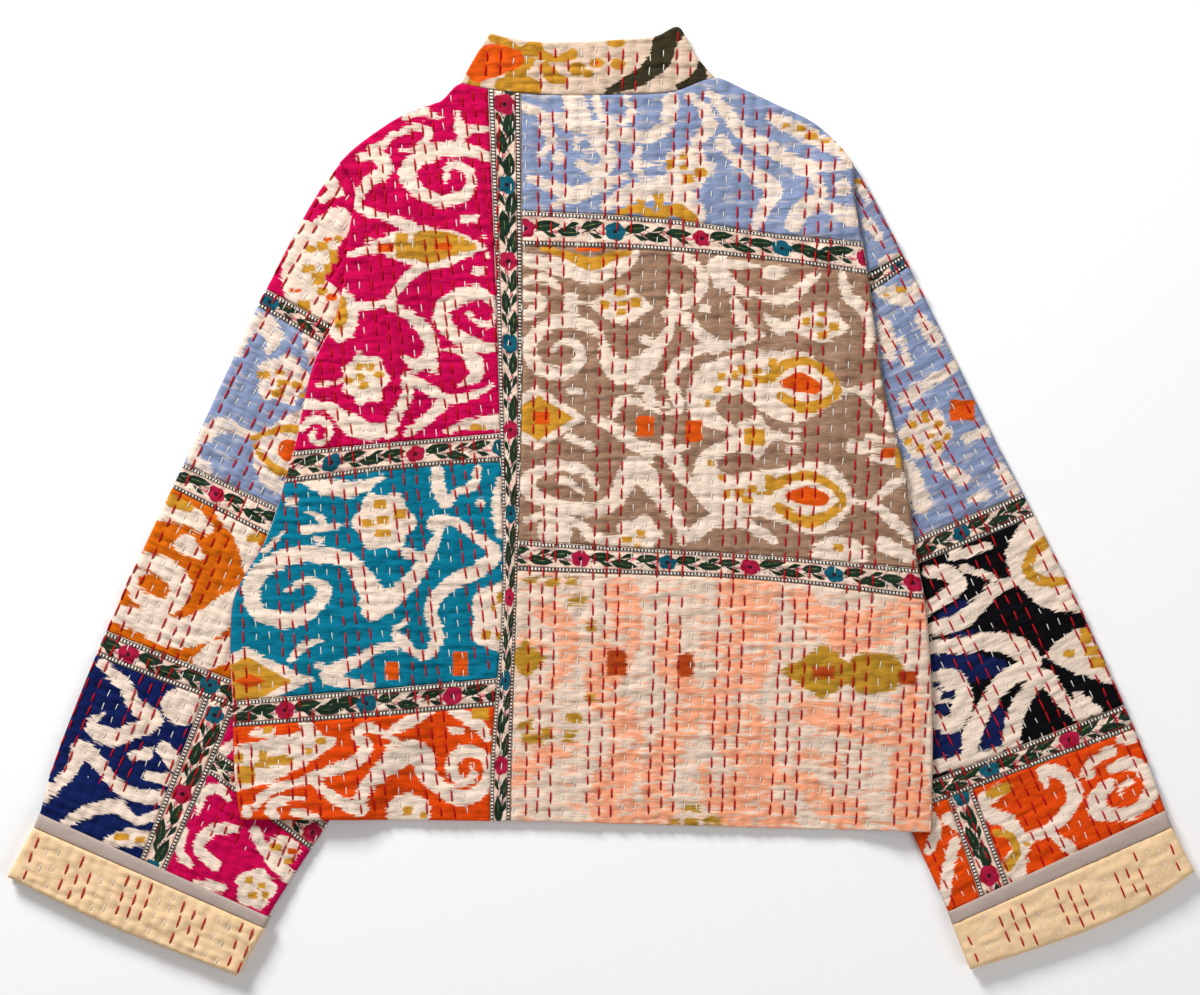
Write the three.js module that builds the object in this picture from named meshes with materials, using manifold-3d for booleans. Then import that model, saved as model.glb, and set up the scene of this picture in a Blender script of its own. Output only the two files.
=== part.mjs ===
// Quilted patchwork jacket laid flat with its back up and its stand collar towards +Y, in mm.
// The middle of the fronts and the under side of the sleeves rest on z = 0, and the origin is at
// the bottom centre of the whole. The body lies over the inner part of both sleeves.
import * as THREE from "three";
import { mergeVertices } from "three/addons/utils/BufferGeometryUtils.js";
import Module from "manifold-3d";

const wasm = await Module();
wasm.setup();

// Cloth: face and lining quilted together are one wall.
const CLOTH = 2.2;
const SEAM_GAP = 0.3;
const BINDING = 2.6; // the binding wraps the edge, so it is a little thicker
const CREST = 0.8; // a channel between two rows of stitches one ROW_STEP apart stands this high
const ROW_STEP = 9.6;
const LAYER = CLOTH + SEAM_GAP;
const QUILTED_LAYER = LAYER + CREST;

// Heights of the undersides of what lies on a sleeve and on the floor.
const SLEEVE_STACK = LAYER + QUILTED_LAYER;
const SLEEVE_RISE = LAYER; // the sleeve's end lies on the cuff's under layer
const BODY_SLOPE = 40; // the body comes down beside a sleeve over this width
const SLEEVE_SLOPE = 40;
const SLOPE_CLEARANCE = 11;

// Outline of the back, as x and y of a few points.
const NECK = [[-110, 327], [-90, 323], [-61, 319.5], [16, 318.7], [57, 321], [89, 332]];
const LEFT_SHOULDER = [
  [-126, 313], [-141, 308], [-161, 299], [-180, 286], [-196, 272.5], [-204.5, 264],
];
const LEFT_SIDE = [
  [-193, 248], [-196.5, 212], [-210, 137], [-220, 118], [-240, 40],
  [-262, -30], [-287, -77], [-289.5, -108], [-288, -147], [-284, -233],
];
const HEM = [[-281.5, -248], [-79, -250], [202, -257], [258.5, -258]];
const RIGHT_SIDE = [
  [258.5, -147], [253, -77], [247, -45], [237, 25], [223, 79], [208, 181], [197, 255],
];
const RIGHT_SHOULDER = [[197, 264], [186.5, 278], [167, 296], [140, 309.5], [112.5, 322.5]];

// Seams of the back, each past the edges of the cloth at both ends.
const LONG_BORDER_LEFT = [[-86.5, -300], [-86.5, -217], [-77, -77], [-80, 90], [-89.5, 350]];
const LONG_BORDER_RIGHT = [[-71, -300], [-70, -217], [-66, -77], [-61.5, 90], [-62.5, 350]];
const LEFT_SEAMS = {
  upperTop: [[-330, 32], [-235, 40], [-157, 47], [-80, 53.5], [-60, 55]],
  upperBottom: [[-330, 6], [-240, 15], [-157, 25.5], [-80, 31], [-60, 32]],
  lowerTop: [[-330, -159], [-289, -155.5], [-82, -138], [-60, -136]],
  lowerBottom: [[-330, -179], [-288, -176], [-83, -160], [-60, -158]],
};
const RIGHT_SEAMS = {
  upperTop: [[-90, 229], [-59, 227.5], [52, 221], [155, 207], [200, 203], [300, 194]],
  upperBottom: [[-90, 201], [-59, 200], [52, 196], [155, 185.5], [204, 177.5], [300, 162]],
  lowerTop: [[-90, -28], [-64, -30], [155, -44], [249, -52], [300, -56]],
  lowerBottom: [[-90, -53], [-66, -54], [155, -64], [250.5, -76], [300, -82]],
};

// Rows of running stitch on the back: x of one row and the spacing, at two heights.
const LEFT_ROWS = { low: { y: -233, x: -74.8, step: 10.3 }, high: { y: 265, x: -136.4, step: 8.74 } };
const RIGHT_ROWS = { low: { y: -248, x: -49.8, step: 9.58 }, high: { y: 298, x: -37.4, step: 10.56 } };
const STATIONS_BACK = [345, 300, 262, 235, 120, -20, -180, -210, -238, -265];

// Sleeves, seen from the back. Outer is the fold away from the body, and the rows of stitches run
// beside the guide along it. Inner is the edge that shows below the hem, hidden the edge under
// the body, and slopeLine the same edge as y and x, where the body comes down to the floor.
const SLEEVE_LEFT = {
  side: -1,
  outer: [
    [-204.5, 264], [-215, 251], [-234, 220], [-266.5, 157], [-310, 64], [-355, -30],
    [-409.5, -155], [-432, -217], [-438.5, -243], [-461.5, -291],
  ],
  guide: [[-204.5, 264], [-266.5, 157], [-355, -30], [-432, -217], [-463, -300]],
  inner: [[-283, -367.5], [-259, -323], [-213.5, -252]],
  hidden: [[-168, -180], [-183, 17], [-172, 235]],
  slopeLine: [[-280, -231], [-252, -213.5], [-180, -168], [17, -183], [235, -172], [262, -200], [300, -225]],
  binding: { top: [[-438.5, -243], [-258, -324.5]], bottom: [[-443, -254], [-262, -333]] },
  cuffEdge: [[-463.7, -293], [-389, -329], [-321, -356], [-284, -370.5]],
  end: [[-389, -326.5], [-321, -353.5]],
};
const SLEEVE_RIGHT = {
  side: 1,
  outer: [
    [197, 264], [206, 251], [222.5, 220], [254.5, 157], [300.5, 64], [349, -30],
    [408, -155], [433, -217], [441, -240.5], [461.5, -287.5],
  ],
  guide: [[197, 264], [254.5, 157], [349, -30], [433, -217], [467, -300]],
  inner: [[289, -362.5], [271, -320], [243, -258.5]],
  hidden: [[207, -180], [194, 17], [172, 235]],
  slopeLine: [[-280, 253], [-258, 243], [-180, 207], [17, 194], [235, 172], [262, 199], [300, 225]],
  binding: { top: [[441, -240.5], [271, -320]], bottom: [[445.5, -254], [274.5, -330]] },
  cuffEdge: [[463.7, -289], [434, -309.5], [394, -329.5], [335, -351], [288.5, -365.5]],
  end: [[434, -307], [394, -327], [335, -348.5]],
};

// Seams across the sleeves, each from the outer fold to beyond the inner edge.
const LEFT_SLEEVE_SEAMS = [
  [[-290, 180.5], [-262, 166.5], [-209, 137], [-120, 90]],
  [[-290, 164], [-267.5, 152], [-214.5, 121.5], [-120, 70]],
  [[-360, 45.5], [-325, 29.5], [-248, -6.5], [-120, -66]],
  [[-370, 28], [-334, 10], [-260, -27], [-120, -97]],
  [[-420, -87], [-386, -101], [-291.5, -138], [-120, -205]],
  [[-430, -104], [-394, -120.5], [-291.5, -159.5], [-120, -225]],
];
const LEFT_LENGTHWISE = {
  outer: [[-300, -126], [-312, -156], [-361, -282], [-395, -369]],
  inner: [[-268, -116], [-289, -170], [-341, -291], [-378, -377]],
};
const LEFT_SHORT_BORDER = {
  top: [[-330, -177], [-301, -195], [-213.5, -251.5], [-170, -280]],
  bottom: [[-340, -190], [-305, -214], [-226, -273.5], [-180, -308]],
};
const RIGHT_SLEEVE_SEAMS = [
  [[120, 163], [209, 179], [235, 192.5], [300, 225]],
  [[120, 147], [209, 163.5], [241, 184.5], [310, 226]],
  [[120, -82], [246.5, -28.5], [328.5, 6], [390, 32]],
  [[120, -99], [249, -48.5], [339.5, -11], [400, 14]],
  [[120, -272], [261.5, -216.5], [409, -158.5], [470, -134.5]],
  [[120, -292], [260.5, -236], [416, -178], [480, -154]],
];
const RIGHT_LENGTHWISE = {
  inner: [[252, -180], [271.5, -233.5], [296.5, -311.5], [318, -379]],
  outer: [[271, -170], [292.5, -228], [320.5, -303.5], [347, -376]],
};

// Stand collar, with its two front halves lying under its back half.
const COLLAR_LEFT = [[-99, 347], [-87, 366.5]];
const COLLAR_TOP = [[-54.5, 360], [-26.5, 359.5], [16, 361.5], [43, 364], [62, 370.5]];
const COLLAR_RIGHT = [[75, 348], [65, 366]];
const CENTRE_FRONT_X = -8.5;
const FRONT_NECK_DROP = 72; // the front neck is this much lower than the back neck
const STATIONS_COLLAR = [300, 345, 390];

// Rows of the sheets. The fronts have no crests, and few rows where they lie flat.
const ROWS_LEFT = { first: -28, last: 8, firstFlat: 3 };
const ROWS_RIGHT = { first: -7, last: 35, lastFlat: 14 };
const ROWS_SLEEVE = { first: -1, last: 27, apart: 4 };
const STATIONS_SLEEVE = [-60, 200, 490, 515, 540, 575, 680];
const STATIONS_CUFF = [520, 680];
const FAR = 600; // outside the whole jacket

const MATERIALS = {
  magenta: "#cd005f", turquoise: "#0a86ae", orange: "#ee5a0c", lightBlue: "#8fa3ce",
  taupe: "#a58570", peach: "#ffb892", cream: "#f3e4d3", amber: "#e0760c", navy: "#10235f",
  black: "#0a0a0e", lining: "#ebcf9b", binding: "#b7a59c",
};

// Plain helpers
const reversed = (points) => [...points].reverse();
const blend = (a, b, t) => a + (b - a) * t;
const smooth = (t) => {
  const c = Math.min(Math.max(t, 0), 1);
  return c * c * (3 - 2 * c);
};

// Piecewise straight curve through [at, value] rows that rise in "at".
function along(rows, at) {
  const last = rows.length - 1;
  if (at <= rows[0][0]) return rows[0][1];
  if (at >= rows[last][0]) return rows[last][1];
  const i = rows.findIndex((row, n) => n < last && at < rows[n + 1][0]);
  return blend(rows[i][1], rows[i + 1][1], (at - rows[i][0]) / (rows[i + 1][0] - rows[i][0]));
}

// A seam line moved to its left by a distance, square to the line between its ends.
function aside(points, distance) {
  const [x0, y0] = points[0];
  const [x1, y1] = points[points.length - 1];
  const length = Math.hypot(x1 - x0, y1 - y0);
  const dx = (-(y1 - y0) / length) * distance;
  const dy = ((x1 - x0) / length) * distance;
  return points.map(([x, y]) => [x + dx, y + dy]);
}

// The strip between two seam lines that run the same way, half a seam gap clear of each.
function between(upper, lower) {
  return [...aside(upper, -SEAM_GAP / 2), ...reversed(aside(lower, SEAM_GAP / 2))];
}

function asSolid(geometry) {
  const g = geometry.index ? geometry.toNonIndexed() : geometry.clone();
  const bare = new THREE.BufferGeometry().setAttribute("position", g.getAttribute("position"));
  const merged = mergeVertices(bare, 1e-4);
  return new wasm.Manifold(
    new wasm.Mesh({
      numProp: 3,
      vertProperties: merged.getAttribute("position").array,
      triVerts: new Uint32Array(merged.index.array),
    }),
  );
}

function asGeometry(solid) {
  const { vertProperties, triVerts } = solid.getMesh();
  return new THREE.BufferGeometry()
    .setAttribute("position", new THREE.BufferAttribute(new Float32Array(vertProperties), 3))
    .setIndex(new THREE.BufferAttribute(new Uint32Array(triVerts), 1));
}

// An upright prism of an outline, from one height to another.
function prism(outline, from = -10, to = 40) {
  const shape = new THREE.Shape(outline.map(([x, y]) => new THREE.Vector2(x, y)));
  const geometry = new THREE.ExtrudeGeometry(shape, { depth: to - from, bevelEnabled: false });
  geometry.translate(0, 0, from);
  return asSolid(geometry);
}

// A quilted sheet: line i lies on a row of stitches, and station j runs along the rows. The
// underside follows layer(x, y), and the top stands one cloth higher. With a crest the top has a
// line midway between two rows as well, and it stands as high as that channel is wide.
function sheet(rows, stations, place, layer, crest) {
  const position = [];
  const index = [];
  const lineAt = (height) => (row) => stations.map((s) => {
    const [x, y] = place(row, s);
    return position.push(x, y, layer(x, y) + height) / 3 - 1;
  });
  const crestLine = (row, next) => stations.map((s) => {
    const [ax, ay] = place(row, s);
    const [bx, by] = place(next, s);
    const middle = (layer(ax, ay) + layer(bx, by)) / 2;
    const height = (crest * Math.hypot(bx - ax, by - ay)) / ROW_STEP;
    return position.push((ax + bx) / 2, (ay + by) / 2, middle + CLOTH + height) / 3 - 1;
  });
  const skin = (a, b, up) => {
    for (let j = 0; j < stations.length - 1; j++) {
      const corners = [a[j], a[j + 1], b[j + 1], b[j]];
      const [p, q, r, t] = up ? corners : [corners[0], corners[3], corners[2], corners[1]];
      index.push(p, q, r, p, r, t);
    }
  };
  const under = rows.map(lineAt(0));
  const tops = rows.map(lineAt(CLOTH));
  const end = stations.length - 1;
  skin(under[0], tops[0], true);
  for (let i = 0; i < rows.length - 1; i++) {
    const middle = crest ? [crestLine(rows[i], rows[i + 1])] : [];
    const lines = [tops[i], ...middle, tops[i + 1]];
    skin(under[i], under[i + 1], false);
    for (let n = 0; n < lines.length - 1; n++) {
      skin(lines[n], lines[n + 1], true);
      index.push(under[i][0], lines[n][0], lines[n + 1][0], under[i][end], lines[n + 1][end], lines[n][end]);
    }
    index.push(under[i][0], tops[i + 1][0], under[i + 1][0]);
    index.push(under[i][end], under[i + 1][end], tops[i + 1][end]);
  }
  skin(tops[rows.length - 1], under[rows.length - 1], true);
  const geometry = new THREE.BufferGeometry()
    .setAttribute("position", new THREE.BufferAttribute(new Float32Array(position), 3))
    .setIndex(index);
  const solid = asSolid(geometry);
  return solid.volume() > 0 ? solid : asSolid(turnedOut(geometry));
}

function turnedOut(geometry) {
  const index = geometry.index.array;
  for (let i = 0; i < index.length; i += 3) [index[i + 1], index[i + 2]] = [index[i + 2], index[i + 1]];
  return geometry;
}

const range = (from, to) => Array.from({ length: to - from + 1 }, (_, i) => from + i);

// The body
// How far the body's lowest layer stands off the floor, where a sleeve lies under it.
function bodyRise(x, y) {
  const left = x - along(SLEEVE_LEFT.slopeLine, y);
  const right = along(SLEEVE_RIGHT.slopeLine, y) - x;
  const inboard = Math.min(left, right) - SLOPE_CLEARANCE;
  return SLEEVE_STACK * (1 - smooth(inboard / BODY_SLOPE));
}

const bodyPlace = (rows) => (row, y) => {
  const t = (y - rows.low.y) / (rows.high.y - rows.low.y);
  return [blend(rows.low.x + rows.low.step * row, rows.high.x + rows.high.step * row, t), y];
};

const BODY_OUTLINE = [
  ...aside(NECK, -SEAM_GAP), ...reversed(RIGHT_SHOULDER), ...reversed(RIGHT_SIDE),
  ...reversed(HEM), ...reversed(LEFT_SIDE), ...reversed(LEFT_SHOULDER),
];

const FAR_LEFT = [[-FAR, -FAR], [-FAR, FAR]];
const FAR_RIGHT = [[FAR, -FAR], [FAR, FAR]];
const FAR_TOP = [[-FAR, FAR], [FAR, FAR]];
const FAR_BOTTOM = [[-FAR, -FAR], [FAR, -FAR]];
const cutBetween = (solid, upper, lower) => solid.intersect(prism(between(upper, lower)));

function backPieces() {
  const back = (x, y) => bodyRise(x, y) + LAYER;
  const outline = prism(BODY_OUTLINE);
  const { first, last } = ROWS_LEFT;
  const leftRows = range(first, last);
  const rightRows = range(ROWS_RIGHT.first, ROWS_RIGHT.last);
  const left = sheet(leftRows, STATIONS_BACK, bodyPlace(LEFT_ROWS), back, CREST).intersect(outline);
  const right = sheet(rightRows, STATIONS_BACK, bodyPlace(RIGHT_ROWS), back, CREST).intersect(outline);
  const leftColumn = cutBetween(left, FAR_LEFT, LONG_BORDER_LEFT);
  const longBorder = cutBetween(right, LONG_BORDER_LEFT, LONG_BORDER_RIGHT);
  const rightColumn = cutBetween(right, LONG_BORDER_RIGHT, FAR_RIGHT);
  const l = LEFT_SEAMS;
  const r = RIGHT_SEAMS;
  return [
    ["back_left_top", "magenta", cutBetween(leftColumn, FAR_TOP, l.upperTop)],
    ["back_left_border_upper", "cream", cutBetween(leftColumn, l.upperTop, l.upperBottom)],
    ["back_left_middle", "turquoise", cutBetween(leftColumn, l.upperBottom, l.lowerTop)],
    ["back_left_border_lower", "cream", cutBetween(leftColumn, l.lowerTop, l.lowerBottom)],
    ["back_left_bottom", "orange", cutBetween(leftColumn, l.lowerBottom, FAR_BOTTOM)],
    ["back_border_long", "cream", longBorder],
    ["back_right_top", "lightBlue", cutBetween(rightColumn, FAR_TOP, r.upperTop)],
    ["back_right_border_upper", "cream", cutBetween(rightColumn, r.upperTop, r.upperBottom)],
    ["back_right_middle", "taupe", cutBetween(rightColumn, r.upperBottom, r.lowerTop)],
    ["back_right_border_lower", "cream", cutBetween(rightColumn, r.lowerTop, r.lowerBottom)],
    ["back_right_bottom", "peach", cutBetween(rightColumn, r.lowerBottom, FAR_BOTTOM)],
  ];
}

// A curve from one side of the neck to the other that drops in the middle, as half a sine wave.
function neckCurve(left, right, drop) {
  return range(0, 12).map((i) => {
    const t = i / 12;
    return [blend(left[0], right[0], t), blend(left[1], right[1], t) - drop * Math.sin(Math.PI * t)];
  });
}

const FRONT_NECK = neckCurve(NECK[0], NECK[NECK.length - 1], FRONT_NECK_DROP);

// Two halves of a solid, half a seam gap clear of the centre front.
function halves(solid) {
  const edge = (x) => prism([[-FAR, -FAR], [x, -FAR], [x, FAR], [-FAR, FAR]]);
  return [
    solid.intersect(edge(CENTRE_FRONT_X - SEAM_GAP / 2)),
    solid.subtract(edge(CENTRE_FRONT_X + SEAM_GAP / 2)),
  ];
}

// The fronts are the two sheets of the back again, without crests and with few rows where flat,
// joined where both are flat.
function frontPieces() {
  const { first, last, firstFlat } = ROWS_LEFT;
  const leftRows = [...range(first, firstFlat), last];
  const rightRows = [ROWS_RIGHT.first, ...range(ROWS_RIGHT.lastFlat, ROWS_RIGHT.last)];
  const left = sheet(leftRows, STATIONS_BACK, bodyPlace(LEFT_ROWS), bodyRise, 0);
  const right = sheet(rightRows, STATIONS_BACK, bodyPlace(RIGHT_ROWS), bodyRise, 0);
  const joinX = LONG_BORDER_LEFT[0][0];
  const leftPart = left.intersect(prism([[-FAR, -FAR], [joinX, -FAR], [joinX, FAR], [-FAR, FAR]]));
  const rightPart = right.intersect(prism([[joinX, -FAR], [FAR, -FAR], [FAR, FAR], [joinX, FAR]]));
  const outline = prism([...aside(FRONT_NECK, -SEAM_GAP), ...BODY_OUTLINE.slice(NECK.length)]);
  const [frontLeft, frontRight] = halves(leftPart.add(rightPart).intersect(outline));
  return [
    ["front_left", "lining", frontLeft],
    ["front_right", "lining", frontRight],
  ];
}

function collarPieces() {
  const sides = { left: reversed(COLLAR_LEFT), right: COLLAR_RIGHT };
  const backOutline = [...NECK, ...sides.right, ...reversed(COLLAR_TOP), ...sides.left];
  const rows = range(ROWS_RIGHT.first, ROWS_RIGHT.lastFlat);
  const band = sheet(rows, STATIONS_COLLAR, bodyPlace(RIGHT_ROWS), () => LAYER, CREST);
  const frontTop = neckCurve(COLLAR_LEFT[1], COLLAR_RIGHT[1], FRONT_NECK_DROP).slice(1, -1);
  const frontOutline = [...FRONT_NECK, ...sides.right, ...reversed(frontTop), ...sides.left];
  const [frontLeft, frontRight] = halves(prism(frontOutline, 0, CLOTH));
  return [
    ["collar_back", "cream", band.intersect(prism(backOutline))],
    ["collar_front_left", "lining", frontLeft],
    ["collar_front_right", "lining", frontRight],
  ];
}

// Sleeves
// A row lies its own number of spacings in from the guide, and u is the distance along it.
function sleevePlace(sleeve) {
  const curve = new THREE.SplineCurve(sleeve.guide.map(([x, y]) => new THREE.Vector2(x, y)));
  const length = curve.getLength();
  return (row, u) => {
    const t = Math.min(Math.max(u / length, 0), 1);
    const point = curve.getPointAt(t);
    const tangent = curve.getTangentAt(t);
    const inward = row * ROW_STEP;
    const beyond = u - t * length;
    return [
      point.x + sleeve.side * tangent.y * inward + tangent.x * beyond,
      point.y - sleeve.side * tangent.x * inward + tangent.y * beyond,
    ];
  };
}

// A sleeve lies on the floor, and rises onto the under layer of its turned-back cuff.
function sleeveRise(sleeve) {
  const [[ax, ay], [bx, by]] = sleeve.binding.top;
  const length = Math.hypot(bx - ax, by - ay);
  return (x, y) => {
    const above = (-sleeve.side * ((bx - ax) * (y - ay) - (by - ay) * (x - ax))) / length;
    return SLEEVE_RISE * (1 - smooth((above - SLOPE_CLEARANCE) / SLEEVE_SLOPE));
  };
}

function sleeveLayers(sleeve) {
  const { first, last, apart } = ROWS_SLEEVE;
  const place = sleevePlace(sleeve);
  const rise = sleeveRise(sleeve);
  const outline = prism([...sleeve.outer, ...sleeve.end, ...sleeve.inner, ...sleeve.hidden]);
  const wideRows = range(first, last).filter((row) => (row - first) % apart === 0);
  const upper = sheet(range(first, last), STATIONS_SLEEVE, place, (x, y) => rise(x, y) + LAYER, CREST);
  const under = sheet(wideRows, STATIONS_SLEEVE, place, rise, 0);
  return { upper: upper.intersect(outline), under: under.intersect(outline) };
}

// The patches and borders across a sleeve, from the shoulder down to its lowest ring.
function sleeveRings(upper, seams, name, finishes) {
  const lines = [FAR_TOP, ...seams, FAR_BOTTOM];
  const parts = ["cap", "border_1", "upper", "border_2", "middle", "border_3", "ring"];
  return parts.map((part, i) => [
    name + "_" + part, finishes[i], cutBetween(upper, lines[i], lines[i + 1]),
  ]);
}

function leftSleevePieces() {
  const { upper, under } = sleeveLayers(SLEEVE_LEFT);
  const finishes = ["magenta", "cream", "lightBlue", "cream", "amber", "cream", "navy"];
  const rings = sleeveRings(upper, LEFT_SLEEVE_SEAMS, "sleeve_left", finishes);
  const ring = rings.pop()[2];
  const outerLine = reversed(LEFT_LENGTHWISE.outer);
  const innerLine = reversed(LEFT_LENGTHWISE.inner);
  const inner = cutBetween(ring, innerLine, FAR_RIGHT);
  const { top, bottom } = LEFT_SHORT_BORDER;
  return [
    ...rings,
    ["sleeve_left_lower", "navy", cutBetween(ring, FAR_LEFT, outerLine)],
    ["sleeve_left_border_long", "cream", cutBetween(ring, outerLine, innerLine)],
    ["sleeve_left_inner_upper", "magenta", cutBetween(inner, FAR_TOP, top)],
    ["sleeve_left_border_short", "cream", cutBetween(inner, top, bottom)],
    ["sleeve_left_inner_lower", "magenta", cutBetween(inner, bottom, FAR_BOTTOM)],
    ["sleeve_left_under", "lining", under],
  ];
}

function rightSleevePieces() {
  const { upper, under } = sleeveLayers(SLEEVE_RIGHT);
  const finishes = ["lightBlue", "cream", "lightBlue", "cream", "black", "cream", "orange"];
  const rings = sleeveRings(upper, RIGHT_SLEEVE_SEAMS, "sleeve_right", finishes);
  const ring = rings.pop()[2];
  const innerLine = reversed(RIGHT_LENGTHWISE.inner);
  const outerLine = reversed(RIGHT_LENGTHWISE.outer);
  return [
    ...rings,
    ["sleeve_right_inner", "orange", cutBetween(ring, FAR_LEFT, innerLine)],
    ["sleeve_right_border_long", "cream", cutBetween(ring, innerLine, outerLine)],
    ["sleeve_right_lower", "orange", cutBetween(ring, outerLine, FAR_RIGHT)],
    ["sleeve_right_under", "lining", under],
  ];
}

// A turned-back cuff lies on and under the sleeve's end, and a binding covers its raw edge.
function cuffPieces(sleeve, name) {
  const { top, bottom } = sleeve.binding;
  const halfGap = (sleeve.side * SEAM_GAP) / 2;
  const cuffOutline = [...aside(bottom, halfGap), ...reversed(sleeve.cuffEdge)];
  const bindingOutline = [...top, ...reversed(aside(bottom, -halfGap))];
  const z = SLEEVE_RISE + LAYER + QUILTED_LAYER;
  const { first, last } = ROWS_SLEEVE;
  const cuff = sheet(range(first, last), STATIONS_CUFF, sleevePlace(sleeve), () => z, CREST);
  return [
    ["cuff_" + name, "lining", cuff.intersect(prism(cuffOutline))],
    ["cuff_binding_" + name, "binding", prism(bindingOutline, z, z + BINDING)],
    ["cuff_" + name + "_under", "lining", prism(cuffOutline, 0, CLOTH)],
    ["cuff_binding_" + name + "_under", "binding", prism(bindingOutline, 0, CLOTH)],
  ];
}

const jacket = new THREE.Group();
const pieces = [
  ...backPieces(), ...frontPieces(), ...collarPieces(), ...leftSleevePieces(),
  ...rightSleevePieces(), ...cuffPieces(SLEEVE_LEFT, "left"), ...cuffPieces(SLEEVE_RIGHT, "right"),
];
for (const [name, finish, solid] of pieces) {
  const material = new THREE.MeshStandardMaterial({ color: MATERIALS[finish], roughness: 0.85 });
  const mesh = new THREE.Mesh(asGeometry(solid), material);
  mesh.name = name;
  jacket.add(mesh);
}

export default jacket;
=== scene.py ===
# %% [markdown]
# # A quilted patchwork jacket, laid flat with its back up
# The real jacket is sewn from old printed cloths: patches, flowered border strips between them, and
# running stitches through face and lining all over. Each piece is cut, quilted and sewn, so here each
# piece is its own thin closed shell that lies exactly where the CAD piece lies. All sizes below are
# in millimetres in the frame of the CAD, and turn into metres when a mesh is made.

# %% The frame
import bpy
import numpy as np
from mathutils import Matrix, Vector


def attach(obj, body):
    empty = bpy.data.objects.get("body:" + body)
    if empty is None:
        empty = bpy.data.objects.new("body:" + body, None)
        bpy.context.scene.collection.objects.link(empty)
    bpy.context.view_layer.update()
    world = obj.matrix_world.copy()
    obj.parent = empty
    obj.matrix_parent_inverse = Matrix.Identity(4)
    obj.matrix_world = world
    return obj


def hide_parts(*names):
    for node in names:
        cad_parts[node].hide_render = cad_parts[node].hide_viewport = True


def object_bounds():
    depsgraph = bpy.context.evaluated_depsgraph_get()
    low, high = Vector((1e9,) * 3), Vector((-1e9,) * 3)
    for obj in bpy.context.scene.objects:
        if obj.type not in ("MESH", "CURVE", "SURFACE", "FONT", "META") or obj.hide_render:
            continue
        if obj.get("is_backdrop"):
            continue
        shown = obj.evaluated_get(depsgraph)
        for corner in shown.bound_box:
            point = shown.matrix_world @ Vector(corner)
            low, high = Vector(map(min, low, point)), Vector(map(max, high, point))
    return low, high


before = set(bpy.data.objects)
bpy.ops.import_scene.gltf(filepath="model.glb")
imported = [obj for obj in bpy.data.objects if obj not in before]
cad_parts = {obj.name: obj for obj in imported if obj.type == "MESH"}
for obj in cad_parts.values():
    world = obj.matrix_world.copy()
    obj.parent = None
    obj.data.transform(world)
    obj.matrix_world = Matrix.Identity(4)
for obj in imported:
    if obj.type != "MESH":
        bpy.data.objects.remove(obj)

CAD_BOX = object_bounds()
MM = 0.001
PIXEL = 0.78  # one pixel of the photograph, which looks straight down
PHOTO_ORIGIN = np.array([600.9, 501.65])
print("CAD nodes:", len(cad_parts), "box:", [round(c, 4) for corner in CAD_BOX for c in corner])

# %% [markdown]
# The photograph is taken from straight above with a long lens. The camera hangs over the middle of
# the picture, and its height follows from the lens: the picture's 1200 pixels are 936 mm of cloth.

# %% Camera
LENS, SENSOR = 85, 36
PICTURE_SIZE = np.array([1200, 995])  # pixels
CLOTH_TOP = 0.01  # m, where the picture's scale holds
picture_width = PICTURE_SIZE[0] * PIXEL * MM
camera = bpy.data.objects.new("camera", bpy.data.cameras.new("camera"))
bpy.context.scene.collection.objects.link(camera)
camera.data.lens, camera.data.sensor_width = LENS, SENSOR
middle = (PICTURE_SIZE / 2 - PHOTO_ORIGIN) * [PIXEL * MM, -PIXEL * MM]
camera.location = (*middle, picture_width * LENS / SENSOR + CLOTH_TOP)
bpy.context.scene.camera = camera
print("camera stands at", [round(c, 3) for c in camera.location])

# %% [markdown]
# Plain studio light: one wide soft lamp from the upper left draws out the relief of the quilting,
# a fainter one fills from the right, and a pale sky lights the rest. The floor is a plain sheet.

# %% Light and floor
SKY = 0.3
FLOOR_HALF, FLOOR_DROP = 4.0, 0.0004  # m; the drop keeps it clear of the cloth


def soft_lamp(name, place, size, power):
    """A square lamp at a place in metres, turned to face the middle of the jacket."""
    data = bpy.data.lights.new(name, "AREA")
    data.size, data.energy = size, power
    lamp = bpy.data.objects.new(name, data)
    bpy.context.scene.collection.objects.link(lamp)
    lamp.location = place
    lamp.rotation_euler = (-lamp.location).to_track_quat("-Z", "Y").to_euler()
    return lamp


soft_lamp("key_lamp", (-1.3, 2.1, 1.3), 0.8, 102)
soft_lamp("fill_lamp", (2.2, -1.2, 2.2), 2.0, 27)
world = bpy.data.worlds.new("studio")
bpy.context.scene.world = world
world.use_nodes = True
world.node_tree.nodes["Background"].inputs["Color"].default_value = (1, 1, 1, 1)
world.node_tree.nodes["Background"].inputs["Strength"].default_value = SKY
bpy.context.scene.view_settings.view_transform = "Standard"

floor_mesh = bpy.data.meshes.new("floor")
corners = [(FLOOR_HALF * x, FLOOR_HALF * y, 0) for x, y in ((-1, -1), (1, -1), (1, 1), (-1, 1))]
floor_mesh.from_pydata(corners, [], [(0, 1, 2, 3)])
floor = bpy.data.objects.new("floor", floor_mesh)
floor.location.z = -FLOOR_DROP
bpy.context.scene.collection.objects.link(floor)
floor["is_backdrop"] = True

# %% [markdown]
# ## Lines of the pattern
# A tailor draws a pattern piece as four curved lines that cross at its corners. The same is done
# here: each line is a smooth curve through a few points, in mm, and a piece is what lies between
# four of them.


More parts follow.
